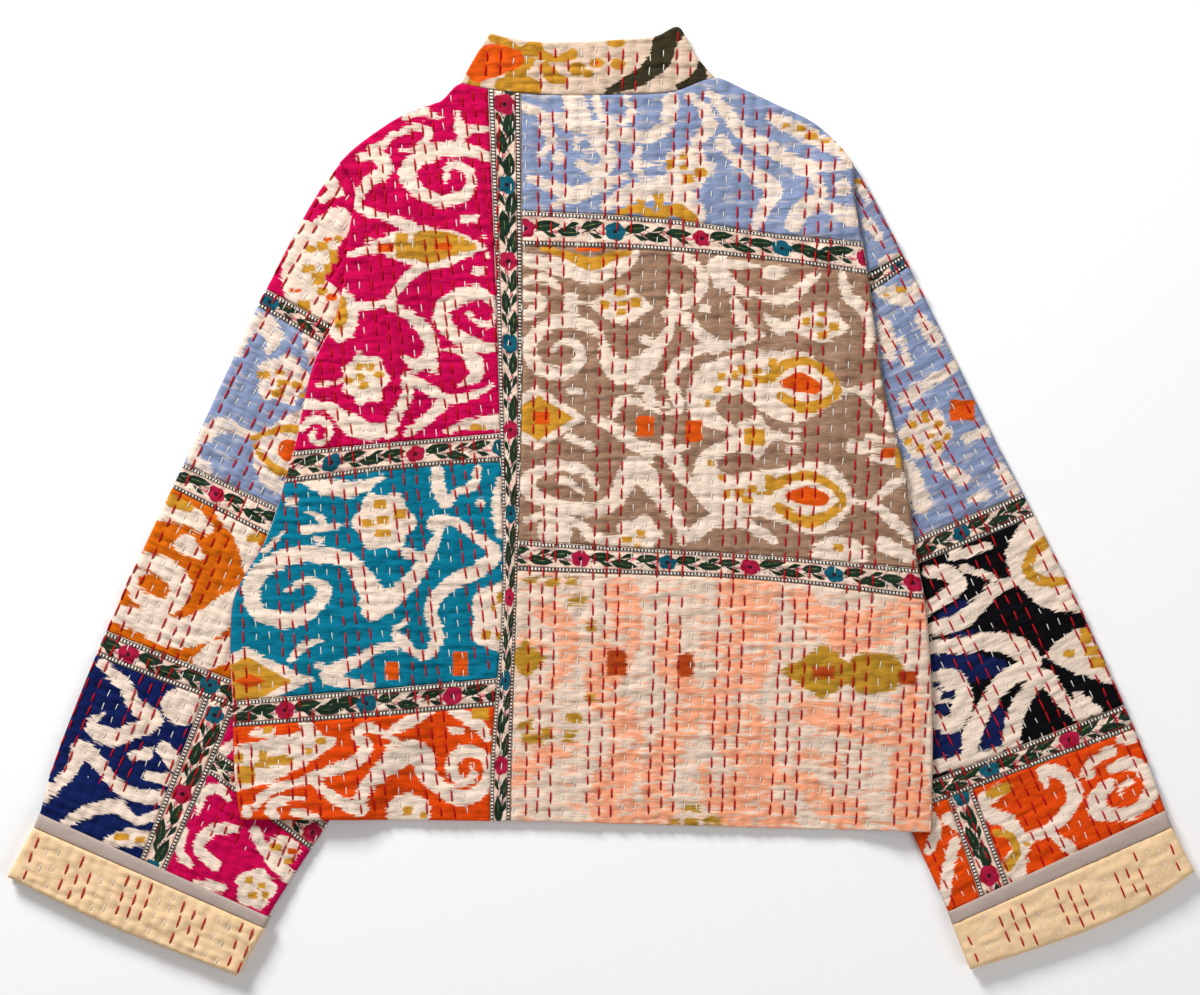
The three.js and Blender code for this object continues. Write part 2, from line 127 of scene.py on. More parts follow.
# %% Curves and where they cross
def curve_through(points, pieces=8):
    """A smooth curve through points: cubic Hermite spans, whose tangent at a point is the mean of
    the two neighbouring directions, each weighted with the length of the other span."""
    p = np.asarray(points, float)
    length = np.linalg.norm(np.diff(p, axis=0), axis=1)[:, None]
    heading = np.diff(p, axis=0) / length
    inner = (heading[:-1] * length[1:] + heading[1:] * length[:-1]) / (length[1:] + length[:-1])
    tangent = np.vstack([heading[:1], inner, heading[-1:]])[:, None]
    t, h = np.linspace(0, 1, pieces, endpoint=False)[None, :, None], length[:, None]
    span = ((1 + 2 * t) * (1 - t) ** 2 * p[:-1, None] + t * (1 - t) ** 2 * h * tangent[:-1]
            + t**2 * (3 - 2 * t) * p[1:, None] - t**2 * (1 - t) * h * tangent[1:])
    return np.vstack([span.reshape(-1, 2), p[-1:]])


def longer(line, by=8):
    """The same line with both ends drawn on straight, so that it crosses its neighbours."""
    first, last = line[0] - line[1], line[-1] - line[-2]
    return np.vstack([line[0] + by * first / np.hypot(*first), line, line[-1] + by * last / np.hypot(*last)])


def crossing(a, b):
    """Where two lines of points cross, as point number plus fraction along each. A span p + t r
    meets q + u s at t = (q - p) x s / (r x s) and u = (q - p) x r / (r x s)."""
    p, r = a[:-1, None], np.diff(a, axis=0)[:, None]
    q, s = b[None, :-1], np.diff(b, axis=0)[None]
    turn = lambda v, w: v[..., 0] * w[..., 1] - v[..., 1] * w[..., 0]
    with np.errstate(divide="ignore", invalid="ignore"):
        t, u = turn(q - p, s) / turn(r, s), turn(q - p, r) / turn(r, s)
    i, j = np.argwhere((t > -1e-6) & (t < 1 + 1e-6) & (u > -1e-6) & (u < 1 + 1e-6))[0]
    return i + t[i, j], j + u[i, j]


def stretch(line, start, end):
    """The part of a line between two places on it, each a point number plus fraction."""
    low, high = min(start, end), max(start, end)
    at = np.unique(np.r_[low, np.arange(np.ceil(low), np.floor(high) + 1), high])
    part = np.stack([np.interp(at, np.arange(len(line)), line[:, k]) for k in (0, 1)], 1)
    return part if start <= end else part[::-1]


def distances(line):
    """How far along a line each of its points is."""
    return np.r_[0, np.cumsum(np.linalg.norm(np.diff(line, axis=0), axis=1))]


def spread(line, fractions):
    """Points on a line at fractions of its length."""
    at = distances(line)
    return np.stack([np.interp(np.asarray(fractions) * at[-1], at, line[:, k]) for k in (0, 1)], 1)


# %% [markdown]
# The lines of the back, the sleeves and the collar, as the CAD has them. The back is two columns
# with a long border between them.

# %% Pattern lines
NECK = [[-110, 327], [-90, 323], [-61, 319.5], [16, 318.7], [57, 321], [89, 332]]
LEFT_SHOULDER = [[-126, 313], [-141, 308], [-161, 299], [-180, 286], [-196, 272.5], [-204.5, 264]]
RIGHT_SHOULDER = [[112.5, 322.5], [140, 309.5], [167, 296], [186.5, 278], [197, 264]]
LEFT_SIDE = [
    [-204.5, 264], [-193, 248], [-196.5, 212], [-210, 137], [-220, 118], [-240, 40],
    [-262, -30], [-287, -77], [-289.5, -108], [-288, -147], [-284, -233], [-281.5, -248],
]
RIGHT_SIDE = [
    [197, 264], [197, 255], [208, 181], [223, 79], [237, 25],
    [247, -45], [253, -77], [258.5, -147], [258.5, -258],
]
HEM = [[-281.5, -248], [-79, -250], [202, -257], [258.5, -258]]
LONG_BORDER = (
    [[-86.5, -300], [-86.5, -217], [-77, -77], [-80, 90], [-89.5, 350]],
    [[-71, -300], [-70, -217], [-66, -77], [-61.5, 90], [-62.5, 350]],
)
LEFT_SEAMS = [
    [[-330, 32], [-235, 40], [-157, 47], [-80, 53.5], [-60, 55]],
    [[-330, 6], [-240, 15], [-157, 25.5], [-80, 31], [-60, 32]],
    [[-330, -159], [-289, -155.5], [-82, -138], [-60, -136]],
    [[-330, -179], [-288, -176], [-83, -160], [-60, -158]],
]
RIGHT_SEAMS = [
    [[-90, 229], [-59, 227.5], [52, 221], [155, 207], [200, 203], [300, 194]],
    [[-90, 201], [-59, 200], [52, 196], [155, 185.5], [204, 177.5], [300, 162]],
    [[-90, -28], [-64, -30], [155, -44], [249, -52], [300, -56]],
    [[-90, -53], [-66, -54], [155, -64], [250.5, -76], [300, -82]],
]
SLEEVES = {
    "left": {
        "side": -1,
        "outer": [
            [-204.5, 264], [-215, 251], [-234, 220], [-266.5, 157], [-310, 64], [-355, -30],
            [-409.5, -155], [-432, -217], [-438.5, -243], [-461.5, -291],
        ],
        "guide": [[-204.5, 264], [-266.5, 157], [-355, -30], [-432, -217], [-463, -300]],
        "inner": [[-172, 235], [-183, 17], [-168, -180], [-213.5, -252], [-259, -323], [-283, -367.5]],
        "cap_side": [[-172, 235], [-204.5, 264]],
        "seams": [
            [[-290, 180.5], [-262, 166.5], [-209, 137], [-120, 90]],
            [[-290, 164], [-267.5, 152], [-214.5, 121.5], [-120, 70]],
            [[-360, 45.5], [-325, 29.5], [-248, -6.5], [-120, -66]],
            [[-370, 28], [-334, 10], [-260, -27], [-120, -97]],
            [[-420, -87], [-386, -101], [-291.5, -138], [-120, -205]],
            [[-430, -104], [-394, -120.5], [-291.5, -159.5], [-120, -225]],
        ],
        "lengthwise": (
            [[-300, -126], [-312, -156], [-361, -282], [-395, -369]],
            [[-268, -116], [-289, -170], [-341, -291], [-378, -377]],
        ),
        "slope": [
            [-280, -231], [-252, -213.5], [-180, -168], [17, -183], [235, -172], [262, -200], [300, -225],
        ],
        "binding": ([[-438.5, -243], [-258, -324.5]], [[-443, -254], [-262, -333]]),
        "cuff_edge": [[-463.7, -293], [-389, -329], [-321, -356], [-284, -370.5]],
        "end": [[-461.5, -291], [-389, -326.5], [-321, -353.5], [-283, -367.5]],
    },
    "right": {
        "side": 1,
        "outer": [
            [197, 264], [206, 251], [222.5, 220], [254.5, 157], [300.5, 64], [349, -30],
            [408, -155], [433, -217], [441, -240.5], [461.5, -287.5],
        ],
        "guide": [[197, 264], [254.5, 157], [349, -30], [433, -217], [467, -300]],
        "inner": [[172, 235], [194, 17], [207, -180], [243, -258.5], [271, -320], [289, -362.5]],
        "cap_side": [[172, 235], [197, 264]],
        "seams": [
            [[120, 163], [209, 179], [235, 192.5], [300, 225]],
            [[120, 147], [209, 163.5], [241, 184.5], [310, 226]],
            [[120, -82], [246.5, -28.5], [328.5, 6], [390, 32]],
            [[120, -99], [249, -48.5], [339.5, -11], [400, 14]],
            [[120, -272], [261.5, -216.5], [409, -158.5], [470, -134.5]],
            [[120, -292], [260.5, -236], [416, -178], [480, -154]],
        ],
        "lengthwise": (
            [[252, -180], [271.5, -233.5], [296.5, -311.5], [318, -379]],
            [[271, -170], [292.5, -228], [320.5, -303.5], [347, -376]],
        ),
        "slope": [[-280, 253], [-258, 243], [-180, 207], [17, 194], [235, 172], [262, 199], [300, 225]],
        "binding": ([[441, -240.5], [271, -320]], [[445.5, -254], [274.5, -330]]),
        "cuff_edge": [[463.7, -289], [434, -309.5], [394, -329.5], [335, -351], [288.5, -365.5]],
        "end": [[461.5, -287.5], [434, -307], [394, -327], [335, -348.5], [289, -362.5]],
    },
}
SHORT_BORDER = (
    [[-330, -177], [-301, -195], [-213.5, -251.5], [-170, -280]],
    [[-340, -190], [-305, -214], [-226, -273.5], [-180, -308]],
)
COLLAR_LEFT = [[-110, 327], [-99, 347], [-87, 366.5]]
COLLAR_TOP = [[-87, 366.5], [-54.5, 360], [-26.5, 359.5], [16, 361.5], [43, 364], [62, 370.5], [65, 366]]
COLLAR_RIGHT = [[89, 332], [75, 348], [65, 366]]
CENTRE_FRONT = -8.5
FRONT_NECK_DROP = 72

# %% [markdown]
# ## How high each layer lies
# Face and lining together are one wall of cloth. Where the body lies over a sleeve it stands on the
# sleeve's two layers, and comes down beside it over 40 mm; a sleeve's end stands on the turned-back
# cuff. These are the heights of the CAD.

# %% Layer heights
CLOTH = 2.2
LAYER = 2.5
SLEEVE_STACK = 5.8
CUFF_STACK = 8.3
SLOPE_WIDTH, SLOPE_CLEARANCE = 40, 11
COVER_LINE, COVER_FADE = -250, 6  # where the body stops to cover a sleeve, and over how much


def smooth(t):
    """0 to 1 along 3 t^2 - 2 t^3, level at both ends."""
    t = np.clip(t, 0, 1)
    return t * t * (3 - 2 * t)


def body_rise(x, y):
    """The body's lowest layer: the sleeve stack's height, down to the floor beside both sleeves."""
    edge = {name: np.interp(y, *np.transpose(sleeve["slope"])) for name, sleeve in SLEEVES.items()}
    inboard = np.minimum(x - edge["left"], edge["right"] - x) - SLOPE_CLEARANCE
    return SLEEVE_STACK * (1 - smooth(inboard / SLOPE_WIDTH))


def under_body(x, y):
    """1 where the body covers what is there, 0 outside its side seams and hem, over 6 mm."""
    left, right = (np.interp(y, *np.transpose(side[::-1])[::-1]) for side in (LEFT_SIDE, RIGHT_SIDE))
    return smooth(np.minimum(np.minimum(x - left, right - x), y - COVER_LINE) / COVER_FADE)


def sleeve_rise(sleeve):
    """A function of x and y: one layer high at the cuff, down to the floor above it."""
    (ax, ay), (bx, by) = sleeve["binding"][0]

    def rise(x, y):
        above = -sleeve["side"] * ((bx - ax) * (y - ay) - (by - ay) * (x - ax)) / np.hypot(bx - ax, by - ay)
        return LAYER * (1 - smooth((above - SLOPE_CLEARANCE) / SLOPE_WIDTH))

    return rise


# %% [markdown]
# ## Rows of running stitch
# The quilting is the look of this cloth: rows about 9.6 mm apart, three red and two white in turn,
# whose stitches pull small hollows and push up soft puckers across the rows. One record of where
# every stitch lies serves the relief of the cloth and the threads that are laid on it later.

# %% Stitch rows
ROW_STEP = 9.6
STITCH_PITCH = 12.3
RED_LENGTH, WHITE_LENGTH = 9.8, 6.6
START_DRIFT, PITCH_SPREAD = 2.3, 0.004  # mm from row to row, and share of the pitch
NUDGE = 1.4
SOFT_END = 1.2  # mm over which the pull of a stitch fades past its ends
LONGEST_ROW = 400


class Rows:
    """Rows of running stitch. to_rows(x, y) gives the row number, the place along it and the
    spacing, and to_plan(row, along) the opposite. Stitch k of row i starts at start_i + k pitch_i."""

    def __init__(self, to_rows, to_plan, seed):
        self.to_rows, self.to_plan, self.seed = to_rows, to_plan, 10 * seed
        draw = np.random.default_rng(seed)
        self.start = np.cumsum(draw.normal(0, START_DRIFT, LONGEST_ROW))
        self.pitch = STITCH_PITCH * (1 + draw.normal(0, PITCH_SPREAD, LONGEST_ROW))
        self.red = np.isin(np.arange(LONGEST_ROW) % 5, (0, 1, 4))

    def length(self, row):
        """A red stitch is longer than a white one."""
        return np.where(self.red[row % LONGEST_ROW], RED_LENGTH, WHITE_LENGTH)

    def nudge(self, row, k):
        """Each stitch lies up to 1.4 mm off its even place, by a sine of its numbers."""
        return NUDGE * np.sin(12.9 * row + 7.7 * k)

    def pull(self, row, along):
        """1 on a stitch of that row, 0 between stitches, with soft ends."""
        i = row % LONGEST_ROW
        k = np.floor((along - self.start[i]) / self.pitch[i])
        local = along - self.start[i] - k * self.pitch[i] - self.nudge(row, k)
        off = np.abs(local - self.pitch[i] / 2)
        return smooth((self.length(row) / 2 + SOFT_END - off) / (2 * SOFT_END))


def body_rows(low, high, seed):
    """Rows that are straight lines between a low and a high station: x = start + step row."""
    def to_rows(x, y):
        t = (y - low["y"]) / (high["y"] - low["y"])
        start, step = (low[key] + (high[key] - low[key]) * t for key in ("x", "step"))
        return (x - start) / step, y, step

    def to_plan(row, along):
        t = (along - low["y"]) / (high["y"] - low["y"])
        start, step = (low[key] + (high[key] - low[key]) * t for key in ("x", "step"))
        return start + step * row, along

    return Rows(to_rows, to_plan, seed)


def sleeve_rows(sleeve, seed):
    """Rows beside a guide line: row i lies i steps square to it, and along is the way along it."""
    guide = longer(curve_through(sleeve["guide"]), 160)
    at = distances(guide)
    along_first = at[1]

    def to_rows(x, y):
        shape = np.shape(x)
        point = np.stack([np.ravel(x), np.ravel(y)], 1)[:, None]
        span = np.diff(guide, axis=0)
        long = np.linalg.norm(span, axis=1)
        t = np.clip(((point - guide[:-1]) * span).sum(-1) / long**2, 0, 1)
        off = point - guide[:-1] - t[..., None] * span
        near = np.argmin((off**2).sum(-1), axis=1)
        pick = np.arange(len(near))
        inward = sleeve["side"] * np.stack([span[near, 1], -span[near, 0]], 1) / long[near, None]
        row = (off[pick, near] * inward).sum(-1) / ROW_STEP
        along = at[near] + t[pick, near] * long[near] - along_first
        return row.reshape(shape), along.reshape(shape), ROW_STEP

    def to_plan(row, along):
        along = np.asarray(along, float) + along_first
        near = np.clip(np.searchsorted(at, along) - 1, 0, len(at) - 2)
        span = np.diff(guide, axis=0)[near] / np.diff(at)[near, None]
        point = guide[near] + span * (along - at[near])[:, None]
        inward = sleeve["side"] * np.stack([span[:, 1], -span[:, 0]], 1)
        return tuple((point + inward * (np.asarray(row) * ROW_STEP)[:, None]).T)

    return Rows(to_rows, to_plan, seed)


ROWS_LEFT = body_rows({"y": -233, "x": -74.8, "step": 10.3}, {"y": 265, "x": -136.4, "step": 8.74}, 1)
ROWS_RIGHT = body_rows({"y": -248, "x": -49.8, "step": 9.58}, {"y": 298, "x": -37.4, "step": 10.56}, 2)
ROWS_SLEEVE = {name: sleeve_rows(sleeve, seed) for seed, (name, sleeve) in enumerate(SLEEVES.items(), 3)}
print("rows 0 to 4 are red:", ROWS_LEFT.red[:5])

# %% [markdown]
# ## Relief
# Between two rows the cloth stands up, and at each stitch it is pulled down. Puckers run across the
# rows, because a pulled thread shortens the cloth along itself. Height is added to the wall's outer
# points, so it is real shape from every side.


# %% Relief of the quilting
def value_noise(u, v, seed, size=128):
    """Random heights from -1 to 1 on a lattice, joined by smooth steps between its points."""
    lattice = np.random.default_rng(seed).uniform(-1, 1, (size, size))
    i, j = np.floor(u).astype(int), np.floor(v).astype(int)
    f, g = smooth(u - i), smooth(v - j)
    corner = lambda a, b: lattice[(i + a) % size, (j + b) % size]
    near, far = (corner(a, 0) * (1 - g) + corner(a, 1) * g for a in (0, 1))
    return near * (1 - f) + far * f


CREST = 1.75
PUCKERS = ((21, 7.0, 1.8), (9, 3.6, 0.55))  # across, along and height, in mm
PUCKER_LEVEL = 0.35  # the mean of a noise without its sign, about
HOLLOW_WIDTH, PULL_WIDTH = 1.7, 3.0
FULL, HOLLOW, PULL = 0.6, 0.14, 0.42  # shares of the crest


def relief(rows, x, y):
    """Height over the flat cloth: crest times (full - hollow at the rows - pull at the stitches), plus
    puckers long across the rows and short along them, in two sizes. A pucker is the size of a noise
    without its sign, so round pillows meet in sharp creases."""
    row, along, step = rows.to_rows(x, y)
    first = np.floor(row).astype(int)
    off = (row - first) * step
    bell = lambda distance, width: np.exp(-((distance / width) ** 2))
    hollow = bell(off, HOLLOW_WIDTH) + bell(step - off, HOLLOW_WIDTH)
    pull = (rows.pull(first, along) * bell(off, PULL_WIDTH)
            + rows.pull(first + 1, along) * bell(step - off, PULL_WIDTH))
    across = row * step
    pucker = sum(size * (np.abs(value_noise(across / wide, along / short, rows.seed + n)) - PUCKER_LEVEL)
                 for n, (wide, short, size) in enumerate(PUCKERS))
    return CREST * (FULL - HOLLOW * hollow - PULL * pull) + pucker * (1 - 0.3 * hollow)


# %% [markdown]
# The jacket was laid down by hand, so a few soft creases stay in it: drags from the armholes and
# shoulders, and flutes near the hem. Each is placed with its own width and height, and those
# underneath are other ones of the same kind. A crease has three points, a width and a height.

# %% Creases
CREASES = {
    "up": [
        ([(-193, 236), (-168, 196), (-150, 140)], 9, 1.9), ([(-199, 200), (-178, 150), (-170, 95)], 7, 1.3),
        ([(-226, 92), (-214, 30), (-222, -40)], 10, 1.5),
        ([(-262, -60), (-236, -120), (-240, -190)], 12, 1.7),
        ([(-120, -180), (-116, -215), (-121, -246)], 8, 1.2), ([(194, 240), (170, 190), (158, 130)], 10, 1.8),
        ([(206, 176), (190, 110), (196, 40)], 8, 1.4), ([(236, -20), (214, -90), (222, -150)], 11, 1.7),
        ([(150, -170), (146, -215), (152, -254)], 9, 1.4), ([(20, -196), (27, -228), (22, -252)], 10, 1.1),
        ([(-60, 300), (0, 292), (60, 301)], 9, 1.2), ([(-20, 60), (60, 44), (120, 52)], 12, 0.8),
        ([(-262, 140), (-290, 90), (-304, 40)], 8, 1.5), ([(-240, 60), (-268, 6), (-282, -60)], 7, 1.1),
        ([(-380, -110), (-366, -170), (-384, -236)], 9, 1.5),
        ([(-300, -190), (-318, -250), (-316, -300)], 8, 1.3),
        ([(236, 150), (268, 96), (280, 40)], 9, 1.5), ([(262, -30), (290, -80), (296, -140)], 8, 1.2),
        ([(386, -130), (372, -190), (392, -240)], 9, 1.5), ([(300, -210), (320, -262), (316, -318)], 7, 1.2),
    ],
    "down": [
        ([(-180, 220), (-150, 170), (-140, 110)], 10, 1.3),
        ([(-250, -90), (-222, -150), (-232, -215)], 9, 1.5),
        ([(-60, 200), (-52, 120), (-66, 40)], 12, 1.1), ([(180, 220), (150, 176), (146, 100)], 9, 1.4),
        ([(228, -80), (206, -150), (216, -220)], 11, 1.4), ([(60, -150), (70, -200), (62, -246)], 9, 1.2),
        ([(-300, 60), (-326, 0), (-332, -60)], 8, 1.2), ([(-380, -140), (-400, -190), (-404, -250)], 9, 1.3),
        ([(300, 40), (330, -20), (338, -80)], 8, 1.3), ([(390, -150), (410, -200), (414, -250)], 9, 1.2),
    ],
}


def creases(x, y, side):
    """Ridges with a shallower hollow beside them: height times (bell - half a bell moved aside),
    fading to nothing at both ends."""
    total = np.zeros(np.shape(x))
    for points, width, height in CREASES[side]:
        line = curve_through(points, 4)
        spans = len(line) - 1
        for (ax, ay), (dx, dy), start in zip(line, np.diff(line, axis=0), np.arange(spans) / spans):
            long = np.hypot(dx, dy)
            t = ((x - ax) * dx + (y - ay) * dy) / long**2
            off = ((x - ax) * dy - (y - ay) * dx) / long
            inside = (t >= 0) & (t < 1)
            fade = np.sin(np.pi * np.clip(start + t / spans, 0, 1)) ** 2
            beside = 0.5 * np.exp(-(((off - 1.7 * width) / width) ** 2))
            bump = height * fade * (np.exp(-((off / width) ** 2)) - beside)
            total = np.where(inside & (np.abs(bump) > np.abs(total)), bump, total)
    return total


# %% [markdown]
# ## Printed and dyed motifs
# The patches are ikat: threads dyed before weaving, so every motif has a feathered edge that runs
# with the weft. A motif could be painted as a picture, but a drawn shape stays sharp at any size, so
# each dye is a depth field: how far a point lies inside the brush strokes, drops and flowers. Their
# places are read off in pixels of the photograph, which is a plan of the jacket.

# %% Ink
def to_photo(x, y):
    """Millimetres to pixels: pixels = x / 0.78 + origin, and y counts down."""
    return x / PIXEL + PHOTO_ORIGIN[0], PHOTO_ORIGIN[1] - y / PIXEL


class Ink:
    """One dye on one piece. depth is in mm, above 0 inside what is drawn and below 0 outside. All
    places and sizes that its methods take are in pixels."""

    def __init__(self, px, py):
        self.px, self.py = px, py
        self.depth = np.full(px.shape, -30.0)

    def add(self, depth, cut=False):
        """Joins a shape to the others, or cuts it out of them."""
        self.depth = np.minimum(self.depth, -depth * PIXEL) if cut else np.maximum(self.depth, depth * PIXEL)

    def stroke(self, widths, *points, cut=False):
        """A brush line: a smooth curve through points, with widths spread along it. The depth is the
        radius there minus the distance to the curve's nearest span."""
        line = curve_through(points, 5)
        radius = np.interp(np.linspace(0, 1, len(line)), np.linspace(0, 1, len(widths)), widths) / 2
        shape = np.full(self.px.shape, -40.0)
        for (ax, ay), (dx, dy), r, dr in zip(line, np.diff(line, axis=0), radius, np.diff(radius)):
            t = np.clip(((self.px - ax) * dx + (self.py - ay) * dy) / (dx * dx + dy * dy), 0, 1)
            np.maximum(shape, r + dr * t - np.hypot(self.px - ax - t * dx, self.py - ay - t * dy), out=shape)
        self.add(shape, cut)

    def scroll(self, widths, cx, cy, radius, turns, start, cut=False):
        """A spiral stroke that winds in from a radius to a fifth of it, over some turns."""
        t = np.linspace(0, 1, int(14 * abs(turns)) + 3)
        angle = np.radians(start) + 2 * np.pi * turns * t
        r = radius * (1 - 0.8 * t)
        self.stroke(widths, *np.stack([cx + r * np.cos(angle), cy + r * np.sin(angle)], 1), cut=cut)

    def spot(self, cx, cy, rx, ry, lobes=0, cut=False):
        """An oval, whose edge waves in and out by a tenth where it has lobes."""
        dx, dy = (self.px - cx) / rx, (self.py - cy) / ry
        wave = 1 + (0.1 * np.cos(lobes * np.arctan2(dy, dx)) if lobes else 0)
        self.add((wave - np.hypot(dx, dy)) * min(rx, ry), cut)

    def block(self, cx, cy, width, height, cut=False):
        """A small rectangle."""
        off = np.maximum(np.abs(self.px - cx) - width / 2, np.abs(self.py - cy) - height / 2)
        self.add(-off, cut)

    def diamond(self, cx, cy, width, height, cut=False):
        """A rhomb, pointed at both ends."""
        inside = 1 - np.abs(self.px - cx) / (width / 2) - np.abs(self.py - cy) / (height / 2)
        self.add(inside * min(width, height) / 2, cut)


DYES = ("light", "gold", "warm")


def drawn(x, y, drawing):
    """The depths of all dyes of a piece from its table. A key names the dye, the method of Ink and
    whether the shape is cut out, and each row holds what that method takes."""
    names = dict.fromkeys((*DYES, *(key.split()[0] for key in drawing)))
    inks = {name: Ink(*to_photo(x, y)) for name in names}
    for key, rows in drawing.items():
        name, shape, *cut = key.split()
        for row in rows:
            getattr(inks[name], shape)(*row, cut=bool(cut))
    return {name: ink.depth for name, ink in inks.items()}


# %% [markdown]
# The tables below are the drawings of the patches, and they could be one function each, but tables are
# shorter. A stroke has its widths and then its points, a scroll its widths, middle, radius, turns and
# first angle, a spot its middle, two radii and lobes, and a block or diamond its middle, width and
# height. On the magenta patch: two scrolls, a lying drop with ochre, a rosette, hooks and long stems.

# %% The magenta patch
MAGENTA = {
    "light stroke": [
        ((8, 15, 18, 17, 13, 13, 11, 9, 6), (500, 162), (470, 150), (432, 152), (406, 172), (420, 192),
         (448, 200), (469, 190), (468, 170), (448, 166), (445, 180)),
        ((8, 16, 18, 17, 14, 10), (497, 306), (480, 293), (455, 298), (440, 314), (454, 334), (476, 345),
         (500, 348)),
        ((7, 6, 5), (495, 312), (489, 325), (476, 321), (468, 313)),
        ((9, 16, 15, 11, 9, 12), (361, 157), (379, 156), (385, 169), (367, 184), (358, 205), (384, 217),
         (412, 226)),
        ((26, 42, 36, 8), (392, 246), (430, 246), (482, 247)),
        ((5, 9, 12), (345, 256), (366, 250), (392, 246)),
        ((4, 8, 6), (366, 240), (380, 243), (394, 236)),
        ((8, 12, 10, 9, 9, 10), (452, 262), (420, 268), (402, 284), (390, 300), (366, 306), (336, 304)),
        ((8, 10, 15, 17, 13, 6), (380, 303), (404, 312), (424, 330), (432, 350), (416, 366), (404, 356)),
        ((6, 4), (318, 385), (345, 381)),
        ((4, 9, 19, 15, 4), (445, 349), (461, 351), (474, 362), (477, 374), (459, 385)),
        ((11, 12, 12, 16), (405, 376), (409, 392), (400, 408), (388, 432)),
        ((9, 11, 13, 12, 10), (405, 376), (424, 386), (442, 402), (430, 416), (408, 433)),
        ((11, 9, 5), (441, 400), (468, 397), (492, 386)),
        ((12, 11, 22, 18, 8), (306, 404), (332, 409), (350, 424), (376, 432), (396, 422)),
        ((6, 12, 18), (446, 431), (470, 424), (500, 422)),
        ((7, 9, 4), (404, 116), (426, 112), (441, 118)),
        ((4, 14, 6), (458, 112), (460, 128), (490, 127)),
        ((5, 8, 10, 8, 6), (394, 135), (410, 127), (428, 130), (420, 146), (400, 149)),
        ((9, 8, 5), (370, 149), (384, 142), (394, 131)),
    ],
    "light spot": [(342, 316, 17, 27), (365, 379, 23, 25, 7)],
    "light block": [
        (434, 368, 9, 11), (460, 136, 8, 9), (469, 218, 18, 8), (484, 234, 4, 6), (487, 254, 5, 6),
        (478, 271, 15, 8),
    ],
    "light scroll": [((9, 8, 6), 318, 434, 17, 1.1, 200)],
    "gold block": [(406, 246, 21, 26), (478, 427, 16, 6)],
    "gold stroke": [((34, 24, 8), (428, 246), (450, 244), (472, 246))],
    "gold spot": [
        (340, 312, 8, 19), (349, 381, 5.2, 4.2), (359, 367, 5.2, 4.2), (370, 367, 5.2, 4.2),
        (379, 375, 5.2, 4.2), (364, 386, 5.2, 4.2), (361, 377, 5.2, 4.2),
    ],
    "gold block cut": [(411, 238, 5, 9)],
    "warm block": [(386, 248, 17, 9), (443, 246, 18, 7)],
}

# %% [markdown]
# On the turquoise patch one wide scroll has a tail that bends up. Beside it are an S-shaped stem, a
# rosette and two half flowers, cut through where the patch ends.

# %% The turquoise patch
TURQUOISE = {
    "light stroke": [
        ((8, 13, 17, 26, 25, 16, 17, 19, 19, 17, 17, 16, 14, 9, 6), (439, 531), (428, 556), (404, 588),
         (380, 602), (368, 586), (350, 562), (318, 554), (282, 559), (252, 584), (254, 606), (284, 620),
         (312, 610), (325, 590), (310, 580), (287, 590)),
        ((12, 8), (407, 553), (424, 557)),
        ((12, 8, 2), (305, 530), (328, 527), (352, 523)),
        ((4, 7, 7), (308, 512), (321, 518), (324, 525)),
        ((6, 17, 17, 6), (294, 477), (326, 487), (354, 489), (382, 478)),
        ((8, 3), (264, 551), (285, 531)),
        ((13, 15, 12, 8, 11, 9), (437, 470), (439, 490), (446, 503), (456, 492), (472, 486), (478, 470)),
        ((8, 11, 16), (500, 480), (496, 504), (503, 532)),
        ((17, 10, 9, 16, 17, 16, 14, 14, 9, 9), (434, 524), (450, 520), (470, 533), (494, 554), (480, 569),
         (452, 583), (431, 606), (436, 642), (424, 657), (410, 648)),
        ((6, 8, 15), (407, 620), (395, 631), (406, 645)),
        ((5, 9, 13, 15, 12, 6), (410, 647), (380, 648), (356, 661), (327, 675), (346, 682), (372, 686)),
        ((7, 10, 4), (290, 660), (306, 645), (322, 640)),
    ],
    "light spot": [(374, 604, 15, 17), (384, 522, 30, 29, 6), (500, 618, 30, 37, 5)],
    "light block": [(319, 540, 11, 7), (291, 502, 13, 11), (480, 502, 9, 8), (319, 666, 11, 6)],
    "light diamond": [(246, 680, 140, 66)],
    "gold diamond": [(246, 681, 92, 50)],
    "gold block": [
        (380, 504, 13, 10), (368, 523, 13, 8), (383, 520, 13, 9), (400, 514, 12, 9), (383, 533, 16, 8),
        (500, 598, 6, 11), (493, 608, 5, 9), (486, 635, 9, 10), (499, 636, 8, 8),
    ],
    "warm diamond": [(250, 681, 34, 14)],
    "warm block": [(392, 671, 14, 18), (460, 664, 15, 24)],
}

# %% [markdown]
# Under the collar: a wide festoon, crossing stems, a rosette, and half a sun with ochre rays.

